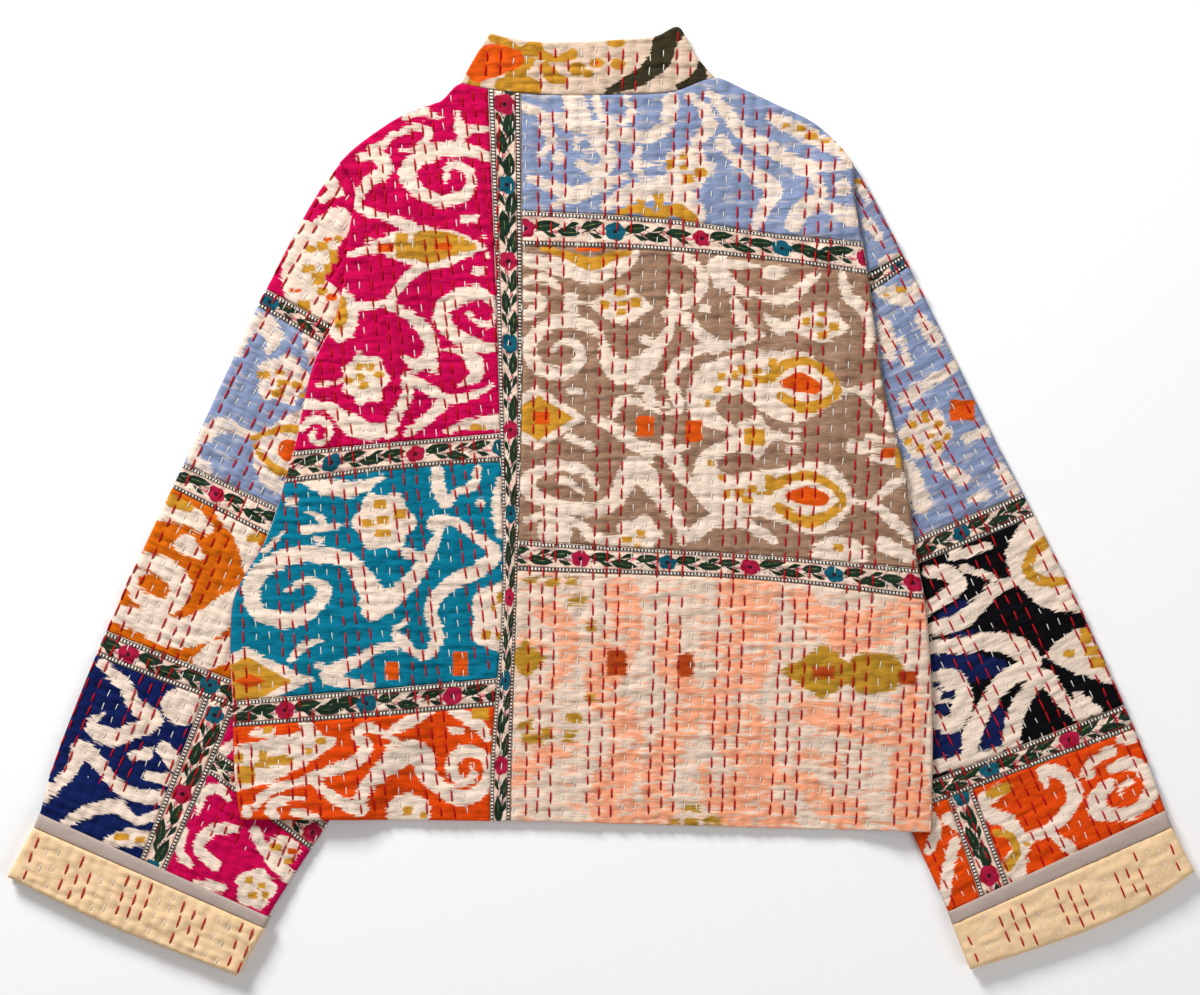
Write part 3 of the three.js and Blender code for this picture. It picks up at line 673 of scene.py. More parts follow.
# %% The light blue top patch
LIGHT_BLUE_TOP = {
    "light stroke": [
        ((10, 9, 18, 18, 15, 15, 15, 18), (521, 104), (545, 115), (568, 121), (590, 127), (626, 135), (655,
         134), (668, 122), (671, 100)),
        ((22, 26), (572, 92), (579, 117)),
        ((8, 10, 8, 10, 8), (596, 98), (603, 116), (618, 122), (632, 113), (626, 97)),
        ((8, 12, 17, 13), (688, 94), (704, 107), (709, 126), (697, 141)),
        ((10, 14, 15, 18, 17, 13, 8), (709, 92), (726, 110), (738, 127), (756, 141), (780, 153), (808, 166),
         (850, 165)),
        ((10, 18, 18, 12), (770, 116), (794, 127), (815, 137), (845, 154)),
        ((14, 10, 8), (545, 126), (552, 141), (540, 154)),
        ((15, 19, 16, 8), (598, 140), (609, 158), (598, 171), (578, 163)),
        ((6, 13, 6), (640, 148), (636, 164), (642, 175)),
        ((5, 4), (644, 164), (666, 163)),
        ((15, 11, 12, 17, 19, 16, 12), (722, 142), (732, 155), (746, 166), (760, 177), (774, 189), (765,
         207), (756, 224)),
        ((8, 12, 17, 16, 7), (529, 178), (551, 185), (572, 193), (600, 185), (627, 176)),
        ((6, 13), (552, 205), (577, 196)),
        ((12, 22, 26, 26, 22, 18), (606, 205), (632, 193), (655, 188), (671, 190), (688, 200), (698, 216)),
        ((8, 11, 13, 20, 18), (795, 168), (816, 179), (821, 196), (803, 209), (793, 224)),
        ((14, 20), (828, 206), (852, 217)),
    ],
    "light spot": [(559, 157, 7, 7), (689, 167, 25, 22, 5), (843, 188, 9, 9)],
    "light block": [(584, 143, 21, 18)],
    "light block cut": [(584, 143, 11, 9)],
    "gold stroke": [((8, 10, 9, 14, 13), (618, 213), (640, 208), (654, 215), (676, 209), (692, 219))],
    "gold block": [
        (659, 200, 10, 15), (641, 204, 9, 10), (671, 164, 9, 10), (684, 156, 8, 6), (684, 166, 8, 6),
        (688, 178, 11, 9), (701, 172, 12, 9), (787, 125, 9, 6), (801, 127, 9, 6), (812, 135, 14, 7),
        (826, 141, 9, 4), (843, 150, 8, 4),
    ],
}

# %% [markdown]
# The largest patch has two lying paisleys ringed with ochre, and scrolls, rosettes and thin stems
# between them.

# %% The taupe patch
TAUPE = {
    "light stroke": [
        ((14, 20, 22, 18, 8), (524, 258), (559, 266), (593, 272), (622, 265), (637, 252)),
        ((8, 12, 8), (520, 282), (544, 278), (559, 286)),
        ((10, 12, 14), (522, 294), (542, 302), (528, 314)),
        ((6, 4), (574, 302), (602, 304)),
        ((18, 40, 4), (600, 305), (622, 305), (652, 307)),
        ((7, 14, 16, 15, 16, 14, 16, 13, 10, 8, 6), (602, 336), (588, 326), (568, 321), (544, 327), (529,
         346), (537, 366), (560, 373), (579, 362), (578, 346), (564, 341), (552, 350)),
        ((10, 20, 27, 22, 15, 9, 10, 14, 12, 11), (603, 344), (609, 360), (622, 372), (645, 363), (660,
         344), (671, 322), (666, 312), (684, 317), (704, 337), (722, 345)),
        ((9, 8), (644, 338), (658, 346)),
        ((9, 13, 14, 12, 12, 11, 5), (722, 345), (694, 351), (677, 366), (668, 381), (676, 395), (679, 408),
         (664, 412)),
        ((12, 12, 12, 16, 17, 8), (678, 254), (694, 264), (704, 282), (694, 296), (677, 302), (670, 292)),
        ((12, 16), (722, 256), (720, 280)),
        ((6, 12, 10, 8), (636, 387), (650, 391), (648, 400), (666, 405)),
        ((7, 11, 8, 5), (612, 416), (622, 400), (642, 403), (660, 412)),
        ((9, 14, 15, 12, 8), (595, 419), (622, 433), (636, 445), (658, 449), (686, 447)),
        ((7, 11), (567, 436), (590, 446)),
        ((8, 12, 12, 14, 17, 16, 15, 14, 18, 22, 24, 23, 18, 15, 12), (596, 488), (588, 474), (566, 466),
         (541, 470), (526, 484), (541, 500), (566, 507), (594, 510), (614, 500), (625, 483), (634, 467),
         (649, 480), (661, 497), (673, 512), (683, 533)),
        ((10, 7, 4), (561, 480), (572, 484), (583, 494)),
        ((18, 13, 13, 10), (671, 455), (684, 477), (704, 497), (716, 512)),
        ((8, 10, 10, 14, 10), (527, 520), (548, 514), (576, 522), (594, 537), (620, 541)),
        ((14, 16, 10), (718, 515), (698, 532), (682, 541)),
        ((20, 13, 8, 13, 14, 9), (716, 268), (736, 288), (758, 295), (787, 299), (804, 286), (817, 274)),
        ((12, 6), (730, 263), (760, 266)),
        ((8, 17, 9), (734, 298), (741, 317), (753, 331)),
        ((7, 16, 4), (766, 316), (779, 326), (798, 324)),
        ((18, 38, 4), (798, 324), (822, 324), (849, 328)),
        ((8, 11, 13), (762, 334), (738, 342), (714, 348)),
        ((12, 28, 38, 42, 74, 6), (724, 426), (702, 410), (708, 385), (742, 374), (792, 386), (846, 391)),
        ((5, 12, 11, 12), (848, 390), (862, 391), (877, 405), (892, 428)),
        ((8, 5), (864, 390), (888, 379)),
        ((13, 5), (771, 435), (800, 439)),
        ((12, 10, 13), (712, 418), (738, 436), (712, 452)),
        ((9, 18, 26, 32, 48, 74, 6), (736, 447), (710, 456), (706, 473), (724, 489), (768, 493), (814, 498),
         (854, 500)),
        ((5, 11, 13, 10), (856, 500), (876, 507), (894, 522), (914, 540)),
        ((8, 13, 9), (874, 500), (893, 484), (906, 476)),
        ((14, 6), (852, 446), (886, 451)),
        ((9, 6), (868, 438), (896, 441)),
        ((5, 9), (869, 460), (896, 461)),
        ((18, 13, 9), (716, 518), (742, 522), (774, 540)),
        ((10, 6), (722, 506), (756, 515)),
        ((16, 14), (882, 544), (910, 556)),
        ((8, 14, 14, 12, 7), (842, 274), (848, 296), (863, 309), (871, 328), (868, 348)),
    ],
    "light block": [
        (571, 302, 14, 18), (705, 308, 11, 10), (575, 391, 17, 9), (648, 459, 12, 9), (795, 430, 14, 6),
        (793, 450, 15, 8),
    ],
    "light diamond": [(536, 418, 104, 66)],
    "light spot": [
        (668, 439, 6, 6), (639, 535, 23, 19, 5), (555, 532, 18, 17), (774, 272, 14, 8),
        (754, 436, 18, 21, 5), (840, 554, 30, 18),
    ],
    "gold stroke": [
        ((6, 9, 14, 10, 5), (543, 248), (568, 255), (592, 264), (612, 256), (630, 252)),
        ((12, 11, 9, 8, 12, 9), (771, 377), (786, 365), (806, 361), (838, 391), (806, 408), (781, 396)),
        ((12, 10, 9, 8, 13, 10), (771, 487), (790, 478), (812, 476), (843, 500), (810, 522), (778, 508)),
    ],
    "gold diamond": [(538, 418, 72, 46)],
    "gold block": [
        (620, 292, 11, 8), (605, 304, 9, 9), (622, 303, 10, 6), (621, 312, 10, 5), (636, 302, 12, 10),
        (822, 315, 9, 6), (806, 322, 8, 8), (820, 325, 9, 6), (822, 335, 11, 8), (834, 327, 10, 9),
        (722, 376, 8, 8), (735, 375, 8, 9), (743, 370, 10, 9), (757, 371, 10, 6), (761, 379, 15, 8),
        (773, 364, 9, 12), (748, 383, 9, 7), (718, 389, 8, 8), (708, 403, 6, 8), (755, 437, 21, 17),
        (722, 477, 8, 7), (727, 494, 7, 9), (740, 493, 10, 9), (753, 489, 10, 9), (748, 500, 12, 7),
        (764, 493, 16, 4), (770, 480, 10, 11), (711, 462, 7, 6), (641, 534, 9, 7), (627, 540, 11, 7),
        (638, 545, 8, 5), (838, 548, 11, 9), (898, 458, 6, 20),
    ],
    "warm block": [
        (588, 248, 25, 6), (542, 418, 15, 12), (645, 426, 18, 21), (694, 431, 17, 21), (888, 453, 13, 10),
    ],
    "warm stroke": [
        ((8, 20, 14), (784, 383), (800, 382), (814, 388)),
        ((8, 20, 14), (790, 496), (807, 496), (822, 499)),
    ],
}

# %% [markdown]
# This ikat is the softest one: flames of peach rise in columns on cream, with small ochre marks and
# dark rust squares.

# %% The peach patch
PEACH = {
    "light stroke": [
        ((34, 34, 46, 26, 32, 36, 46, 50), (621, 592), (627, 626), (608, 664), (599, 695), (624, 720), (625,
         758), (608, 800), (634, 832)),
        ((16, 26, 18, 10), (540, 612), (560, 620), (566, 660), (546, 692)),
        ((30, 22, 12), (515, 776), (542, 757), (572, 748)),
        ((14, 16), (516, 700), (540, 696)),
        ((14, 26, 24, 34, 28, 30), (674, 628), (668, 664), (694, 700), (680, 732), (655, 768), (662, 822)),
        ((12, 14), (706, 646), (722, 640)),
        ((62, 44, 48, 56, 54, 34, 44, 60), (748, 598), (756, 632), (742, 673), (730, 710), (748, 745), (762,
         772), (736, 802), (770, 830)),
        ((24, 42, 40, 34), (800, 600), (833, 630), (874, 628), (912, 612)),
        ((20, 34, 34, 26), (800, 712), (830, 716), (864, 724), (900, 740)),
        ((14, 26, 26, 34), (772, 780), (806, 784), (820, 802), (850, 816)),
        ((20, 34, 46), (912, 700), (906, 760), (916, 820)),
        ((16, 12), (800, 756), (836, 764)),
        ((12, 22), (704, 770), (712, 800)),
        ((10, 12), (520, 640), (544, 648)),
    ],
    "light spot cut": [
        (618, 640, 9, 7), (744, 700, 14, 6), (624, 742, 9, 5), (752, 650, 10, 5), (730, 742, 10, 6),
    ],
    "gold diamond": [(526, 659, 44, 38), (822, 672, 84, 56)],
    "gold stroke": [((10, 42, 40), (848, 673), (866, 673), (884, 672))],
    "gold block": [
        (552, 582, 14, 8), (530, 581, 14, 6), (572, 582, 12, 8), (577, 601, 18, 10), (592, 626, 9, 8),
        (591, 698, 9, 7), (573, 718, 15, 10), (525, 725, 14, 8), (532, 739, 22, 12), (547, 734, 12, 10),
        (569, 737, 12, 9), (692, 809, 17, 9), (674, 822, 12, 6), (692, 822, 14, 8), (713, 821, 18, 9),
    ],
    "warm block": [(617, 663, 20, 27), (686, 666, 16, 24), (824, 672, 22, 12), (908, 678, 20, 15)],
}

# %% [markdown]
# A long S-shaped stem loops under an arch into a scroll, with half flowers at the edges.

# %% The orange patch
ORANGE_BOTTOM = {
    "light stroke": [
        ((38, 44, 36, 12), (226, 774), (260, 764), (296, 751), (331, 741)),
        ((14, 16, 22), (240, 752), (268, 746), (300, 742)),
        ((12, 16), (304, 724), (316, 738)),
        ((5, 7, 8, 10, 12, 14, 14, 13, 11, 10, 10, 11, 8), (388, 748), (397, 742), (384, 734), (368, 727),
         (356, 734), (366, 746), (362, 756), (341, 767), (320, 774), (300, 782), (278, 787), (264, 796),
         (256, 806)),
        ((8, 10, 13, 18), (314, 782), (328, 793), (344, 804), (360, 808)),
        ((14, 14, 17, 24, 27, 26, 20, 17, 18, 16, 14, 12, 12, 14, 14, 12, 10, 8, 5), (358, 804), (363, 792),
         (376, 777), (394, 760), (412, 752), (423, 761), (426, 774), (438, 786), (455, 797), (472, 797),
         (486, 784), (489, 767), (480, 754), (465, 752), (452, 762), (454, 777), (465, 782), (474, 775),
         (470, 766)),
        ((8, 13, 8), (388, 734), (409, 722), (432, 711)),
        ((12, 16, 10), (454, 711), (474, 722), (487, 738)),
        ((5, 11, 13, 8), (304, 799), (284, 799), (271, 809), (278, 820)),
        ((9, 10), (294, 812), (316, 818)),
    ],
    "light block": [(262, 733, 26, 10), (456, 731, 17, 9), (389, 748, 9, 6)],
    "light spot": [(408, 813, 23, 20), (247, 812, 6, 8)],
    "gold block": [
        (236, 758, 15, 10), (246, 775, 18, 18), (263, 756, 8, 12), (262, 765, 16, 6), (277, 760, 20, 9),
        (289, 761, 9, 8), (309, 751, 7, 6), (321, 741, 10, 7), (268, 730, 9, 7), (480, 714, 18, 12),
        (407, 812, 9, 8), (423, 815, 7, 6),
    ],
}

# %% [markdown]
# The collar is of such a cloth too: ochre sprays and one orange cloud at the left, and dark slanting
# bands at the right, on two tones of cream that hardly differ.

# %% The collar
COLLAR = {
    "deep stroke": [
        ((16, 24, 24, 18, 15, 7), (677, 30), (665, 42), (661, 56), (646, 72), (629, 82), (608, 91)),
        ((8, 17, 8), (702, 64), (699, 77), (680, 86)),
    ],
    "gold stroke": [
        ((8, 10, 9, 16), (492, 37), (505, 42), (521, 50), (535, 46)),
        ((14, 9, 8, 12), (535, 50), (545, 55), (560, 58), (572, 53)),
        ((10, 14, 22, 20), (530, 60), (521, 68), (515, 78), (532, 88)),
        ((12, 15, 7), (545, 66), (553, 76), (564, 79)),
    ],
    "gold spot": [
        (502, 84, 8, 7), (577, 68, 9, 7), (588, 73, 6, 4), (597, 62, 8, 5), (618, 63, 8, 6),
        (616, 42, 10, 5), (473, 85, 7, 9),
    ],
    "warm stroke": [((26, 34, 20), (478, 68), (492, 60), (514, 58))],
    "warm spot": [(596, 62, 3, 3)],
}

# %% [markdown]
# The left sleeve, from the shoulder down: a magenta cap over a cream field with many ochre petals, a
# light blue patch with a rosette and a ringed drop, an amber one with a fat scroll between clouds, a
# navy one with hooks and branches, and magenta inner patches with small hooks and a rosette.

# %% The left sleeve's patches
LEFT_CAP = {
    "light stroke": [
        ((32, 44, 44, 44), (336, 222), (312, 250), (302, 280), (322, 305)),
        ((14, 12), (304, 226), (296, 240)),
        ((14, 12), (327, 178), (338, 192)),
        ((9, 8), (322, 198), (336, 190)),
    ],
    "gold block": [
        (322, 245, 12, 9), (310, 248, 11, 8), (308, 268, 13, 8), (318, 278, 14, 13), (333, 256, 9, 14),
        (303, 305, 13, 11), (322, 291, 10, 8), (338, 238, 8, 8), (327, 268, 8, 9),
    ],
    "warm block": [(331, 297, 11, 7), (295, 290, 12, 4), (327, 239, 9, 4)],
}
LEFT_UPPER = {
    "light stroke": [
        ((12, 13, 21, 18, 8), (236, 352), (245, 333), (258, 322), (274, 336), (268, 352)),
        ((16, 9), (308, 338), (313, 358)),
        ((18, 16, 9, 8, 15, 16), (206, 434), (222, 424), (242, 432), (262, 436), (284, 424), (308, 416)),
        ((9, 15, 12), (200, 436), (193, 458), (206, 470)),
        ((10, 16, 14), (258, 462), (266, 478), (284, 490)),
    ],
    "light spot": [(282, 379, 26, 25, 5), (284, 450, 33, 28)],
    "gold stroke": [
        ((6, 7, 9, 8), (252, 438), (270, 432), (290, 428), (308, 434)),
        ((6, 8, 9, 8), (254, 446), (265, 460), (278, 471), (296, 476)),
    ],
    "gold block": [
        (263, 375, 14, 7), (279, 372, 11, 6), (283, 383, 12, 7), (277, 393, 12, 9), (297, 385, 12, 8),
        (301, 395, 7, 6),
    ],
    "warm spot": [(288, 450, 11, 11)],
}
LEFT_MIDDLE = {
    "light stroke": [
        ((26, 24, 14), (160, 508), (184, 514), (206, 528)),
        ((22, 9), (184, 545), (200, 556)),
        ((18, 24, 14), (222, 510), (246, 540), (250, 572)),
        ((16, 22, 24, 19, 17, 13, 9, 6), (140, 560), (163, 567), (180, 588), (169, 606), (147, 602), (132,
         589), (134, 574), (150, 572)),
        ((18, 26, 32, 32, 32, 18), (112, 614), (142, 621), (171, 633), (200, 628), (226, 610), (246, 592)),
        ((18, 28, 20), (200, 662), (218, 653), (232, 646)),
    ],
    "gold stroke": [((14, 10), (172, 501), (188, 508))],
    "gold block": [(254, 538, 16, 9)],
}
LEFT_LOWER = {
    "light stroke": [
        ((10, 16, 15, 21, 17, 20, 11, 4), (100, 664), (124, 686), (135, 706), (152, 720), (134, 731), (104,
         737), (89, 727), (104, 713)),
        ((10, 14), (132, 756), (146, 754)),
        ((16, 20), (163, 750), (175, 764)),
        ((12, 14), (148, 777), (166, 780)),
        ((12, 14, 18, 14, 14, 15, 16), (52, 790), (72, 768), (80, 749), (96, 762), (111, 780), (124, 792),
         (160, 799)),
        ((9, 14, 14, 10, 12), (60, 826), (86, 812), (118, 808), (134, 820), (158, 816)),
        ((12, 20, 18), (108, 842), (128, 838), (150, 840)),
    ],
    "light spot": [(182, 706, 22, 20), (44, 793, 6, 12)],
    "gold block": [(121, 837, 15, 7), (140, 840, 10, 6)],
}
LEFT_INNER = {
    "light stroke": [
        ((8, 12, 12, 6), (198, 812), (202, 794), (218, 789), (228, 800)),
        ((9, 14, 12, 13), (236, 829), (208, 833), (198, 846), (214, 865)),
        ((8, 11, 8), (184, 832), (180, 854), (190, 865)),
        ((12, 13, 16), (254, 832), (268, 856), (290, 878)),
        ((9, 11), (196, 884), (222, 888)),
        ((12, 10), (222, 752), (236, 742)),
    ],
    "light spot": [(282, 850, 18, 14), (255, 889, 20, 20, 5)],
    "gold block": [
        (249, 880, 8, 7), (261, 886, 9, 7), (252, 896, 9, 7), (265, 896, 6, 8), (275, 848, 12, 8),
        (288, 862, 10, 6),
    ],
    "warm block": [(292, 852, 10, 6)],
}

# %% [markdown]
# The right sleeve: pale clouds on light blue with a rosette and one orange square, wide cream bands
# that cross on black with navy at their feet, and a round hook, a scroll and an ochre arc on orange.

# %% The right sleeve's patches
RIGHT_TOP = {
    "light stroke": [
        ((12, 8), (860, 184), (868, 196)),
        ((12, 9), (868, 222), (880, 236)),
        ((12, 10), (884, 262), (900, 256)),
        ((15, 23, 14), (884, 292), (906, 296), (920, 285)),
        ((18, 15), (886, 326), (891, 354)),
        ((13, 17), (921, 318), (936, 338)),
        ((8, 12), (902, 340), (908, 362)),
        ((18, 13, 12, 12), (908, 398), (922, 387), (940, 376), (960, 362)),
        ((13, 11), (968, 438), (990, 431)),
        ((24, 22), (908, 472), (922, 504)),
        ((12, 16), (938, 463), (963, 479)),
        ((13, 17), (1000, 468), (1013, 488)),
        ((9, 11), (972, 500), (986, 494)),
        ((8, 12), (950, 340), (958, 350)),
    ],
    "light spot": [(926, 434, 25, 25, 6)],
    "gold block": [
        (859, 181, 9, 5), (902, 289, 11, 7), (887, 295, 6, 5), (914, 424, 9, 8), (926, 417, 8, 12),
        (938, 424, 8, 8), (909, 441, 9, 8), (921, 448, 9, 10), (939, 446, 9, 9), (932, 436, 7, 6),
        (948, 437, 7, 6),
    ],
    "warm block": [(963, 410, 25, 21)],
}
RIGHT_MIDDLE = {
    "deep stroke": [
        ((20, 30, 14), (932, 664), (972, 668), (1002, 667)),
        ((46, 40), (930, 742), (952, 752)),
        ((30, 26, 14), (984, 744), (1004, 732), (996, 712)),
        ((15, 15), (946, 616), (964, 607)),
    ],
    "deep block": [(964, 636, 24, 10), (949, 695, 13, 8), (943, 710, 15, 11), (937, 686, 8, 6)],
    "light stroke": [
        ((30, 44, 40, 16), (1040, 524), (1028, 556), (1052, 590), (1090, 606)),
        ((34, 40), (1058, 545), (1070, 570)),
        ((11, 16, 17, 18, 15), (1018, 580), (996, 589), (978, 607), (961, 621), (934, 629)),
        ((12, 18, 14, 16, 13), (928, 572), (949, 574), (961, 584), (944, 598), (926, 611)),
        ((13, 12, 7), (955, 555), (972, 551), (990, 546)),
        ((9, 7), (964, 568), (994, 578)),
        ((13, 18, 20, 24, 22, 19, 18, 20, 17), (928, 648), (964, 645), (994, 642), (1018, 648), (1032, 662),
         (1006, 681), (985, 710), (973, 734), (969, 764)),
        ((6, 46, 54), (1048, 657), (1082, 652), (1116, 658)),
        ((20, 18, 17, 18, 16, 16), (1012, 742), (1016, 716), (1031, 690), (1043, 677), (1064, 701), (1084,
         716)),
        ((13, 12), (1080, 698), (1098, 712)),
        ((15, 14, 10), (932, 769), (960, 762), (1000, 752)),
    ],
    "light spot": [(948, 701, 27, 33)],
    "light block cut": [(949, 695, 13, 8), (943, 710, 15, 11), (937, 686, 8, 6)],
    "gold stroke": [((12, 11, 12, 11, 9), (1048, 541), (1032, 556), (1029, 571), (1043, 581), (1066, 581))],
    "gold block": [(1087, 636, 12, 15), (1070, 654, 12, 8), (1093, 651, 16, 10), (1099, 663, 16, 12)],
}
RIGHT_LOWER = {
    "light stroke": [
        ((7, 12, 14, 16, 14, 12, 13, 20, 30), (1047, 786), (1043, 771), (1060, 773), (1076, 791), (1067,
         813), (1049, 830), (1026, 842), (1018, 857), (1012, 878)),
        ((9, 13, 7), (1052, 834), (1069, 848), (1082, 860)),
        ((16, 18, 15), (986, 814), (1006, 821), (1022, 842)),
        ((16, 14), (986, 800), (1002, 790)),
        ((10, 15, 16, 16, 15, 14, 20, 19, 12), (1112, 770), (1130, 763), (1149, 776), (1151, 795), (1138,
         809), (1116, 815), (1098, 811), (1100, 796), (1111, 784)),
        ((5, 6, 4), (1133, 782), (1122, 788), (1121, 797)),
        ((12, 11, 6), (1112, 752), (1093, 763), (1082, 775)),
        ((12, 12), (1122, 740), (1148, 734)),
        ((12, 14, 10), (924, 806), (936, 830), (930, 852)),
        ((12, 13, 12), (956, 842), (949, 868), (944, 902)),
        ((14, 10), (950, 820), (962, 830)),
    ],
    "light spot": [(1090, 776, 6, 5)],
    "gold stroke": [
        ((7, 8, 9, 11), (996, 833), (1010, 836), (1017, 851), (1008, 867)),
        ((12, 11), (992, 794), (1008, 788)),
    ],
    "gold block": [(1027, 844, 8, 4)],
}

# %% [markdown]
# The fronts and the undersides of the sleeves aren't in the photograph, and what is printed there can
# only be guessed. They get scrolls, rosettes and short stems in rows, each row moved half a step.


# %% Hidden cloths
PRINT_STEP_X, PRINT_STEP_Y = 84, 82  # pixels


def turned_down(x, y):
    """The depths of the dyes of a hidden cloth; sizes and turns come from one seeded draw."""
    inks = {name: Ink(*to_photo(x, y)) for name in DYES}
    light, gold = inks["light"], inks["gold"]
    draw = np.random.default_rng(int(abs(x[0, 0]) * 7) + 5)
    px, py = to_photo(x, y)
    for j, cy in enumerate(np.arange(py.min() + 20, py.max(), PRINT_STEP_Y)):
        for i, cx in enumerate(np.arange(px.min() + (20 if j % 2 else 62), px.max(), PRINT_STEP_X)):
            size, start = draw.uniform(22, 31), draw.uniform(0, 360)
            if (i + j) % 3 == 0:
                light.spot(cx, cy, size * 0.85, size * 0.8, 6)
                for angle in np.radians(start + np.arange(0, 360, 72)):
                    gold.spot(cx + 11 * np.cos(angle), cy + 11 * np.sin(angle), 4.5, 4)
            else:
                light.scroll((9, 15, 14, 8), cx, cy, size, 1.35 if i % 2 else -1.35, start)
            stem = [(cx + dx, cy + dy) for dx, dy in ((30, -34), (44, -8), (34, 20), (52, 38))]
            light.stroke((5, 11, 11, 5), *stem)
    return {name: ink.depth for name, ink in inks.items()}


# %% [markdown]
# A border strip carries a winding twig with pointed leaves and a round flower between them. One walk
# along the strip sets them, each a little different, because no two in the photograph are the same.

# %% Border strips
GARLAND_SIZE = 1.22
PAST_END = 12  # pixels that the garland goes on past the strip's end


def garland(along, across, seed):
    """Pointed leaves in twos and threes, and a round flower at every fourth place. Places are pixels
    along the strip, sizes and slants come from one seeded draw, and each leaf has a light midrib."""
    keys = ("twig", "leaf", "vein", "flower", "petal", "teal", "heart")
    inks = {key: Ink(along / PIXEL / GARLAND_SIZE, across / PIXEL / GARLAND_SIZE) for key in keys}
    twig, leaf, vein, flower, petal, teal, heart = inks.values()
    draw = np.random.default_rng(seed)
    place, turn = draw.uniform(-6, 10), int(draw.integers(0, 8))
    end = along.max() / PIXEL / GARLAND_SIZE + PAST_END
    while place < end:
        size, side = draw.uniform(0.9, 1.15), 1 if turn % 2 else -1
        on_strip = lambda *points: [(place + dx, side * dy) for dx, dy in points]
        if turn % 4 == 0:
            bloom, rim = (flower, petal) if turn % 8 else (teal, flower)
            for angle in draw.uniform(0, 1) + np.arange(0, 6.2, 1.26):
                bloom.spot(place + 3.9 * np.cos(angle), 3.9 * np.sin(angle), 4.4 * size, 4.1 * size)
            for angle in draw.uniform(0, 1) + np.arange(0, 6.2, 2.1):
                rim.spot(place + 5.2 * np.cos(angle), 5.0 * np.sin(angle), 1.7, 1.3)
            heart.spot(place, 0, 1.8, 1.8)
            step = draw.uniform(15, 18)
        else:
            slant = draw.uniform(0.5, 1.5)
            rib = ((place - 10 * size, side * 1.5), (place, side * 3.4 * slant),
                   (place + 11 * size, side * 4.8 * slant))
            leaf.stroke((0.8, 8.6 * size, 7.2 * size, 0.5), *rib)
            vein.stroke((0.3, 0.9, 0.2), *rib)
            leaf.stroke((0.6, 4.4, 0.4), *on_strip((-3, -1.5), (4, -4.6), (9, -6.0)))
            petal.stroke((0.8, 2.6, 0.5), *on_strip((5, 1.0), (9, -2.0), (14, -1.0)))
            step = draw.uniform(15, 20)
        twig.stroke((1.0, 1.5, 0.8), *on_strip((-9, -2.4), (0, 0.6), (8, -2.8), (17, 1.2)))
        twig.stroke((1.0, 0.7), *on_strip((2, 0.6), (6, 5.4), (3, 6.6)))
        place += step
        turn += 1
    return {key: ink.depth for key, ink in inks.items()}


def strip_fields(edges, seed):
    """The fields of a strip: the way along it, the distance from its long edges, and the garland."""
    level = np.ptp(edges["left"]) > np.ptp(edges["bottom"])
    start, one, other = (edges[key] for key in (("left", "bottom", "top") if level
                                                else ("bottom", "left", "right")))
    across = (one - other) / 2
    return {"garland_along": start, "edge": np.minimum(one, other), **garland(start, across, seed)}


# %% [markdown]
# ## Finishes
# Shader maths reads best as Python, so a socket is wrapped in a small class whose operators add Math
# nodes. Colours are mixed with Mix nodes. All patterns read attributes of the cloth, in mm, so they
# move with it.


# %% A socket as a value, and a material
class Value:
    """A socket; +, -, *, / on it add Math nodes."""

    def __init__(self, finish, socket):
        self.finish, self.socket = finish, socket

    def math(self, operation, *others, first=None):
        """A Math node on this value and others, or on first and this value."""
        inputs = [self, *others] if first is None else [first, self]
        return self.finish.node("ShaderNodeMath", {"operation": operation}, dict(enumerate(inputs)))

    def __add__(self, other):
        return self.math("ADD", other)

    def __sub__(self, other):
        return self.math("SUBTRACT", other)

    def __mul__(self, other):
        return self.math("MULTIPLY", other)

    def __truediv__(self, other):
        return self.math("DIVIDE", other)

    def __rsub__(self, other):
        return self.math("SUBTRACT", first=other)

    __radd__, __rmul__ = __add__, __mul__

    def clipped(self):
        """The value kept between 0 and 1."""
        return self.finish.node("ShaderNodeClamp", {}, {0: self})

    def sine(self, period):
        """-1 to 1 over a period in mm."""
        return (self * (2 * np.pi / period)).math("SINE")

    def above(self, edge, soft=0.35):
        """1 where the value is over an edge and 0 under it, over a soft band."""
        return ((self - edge) / soft + 0.5).clipped()


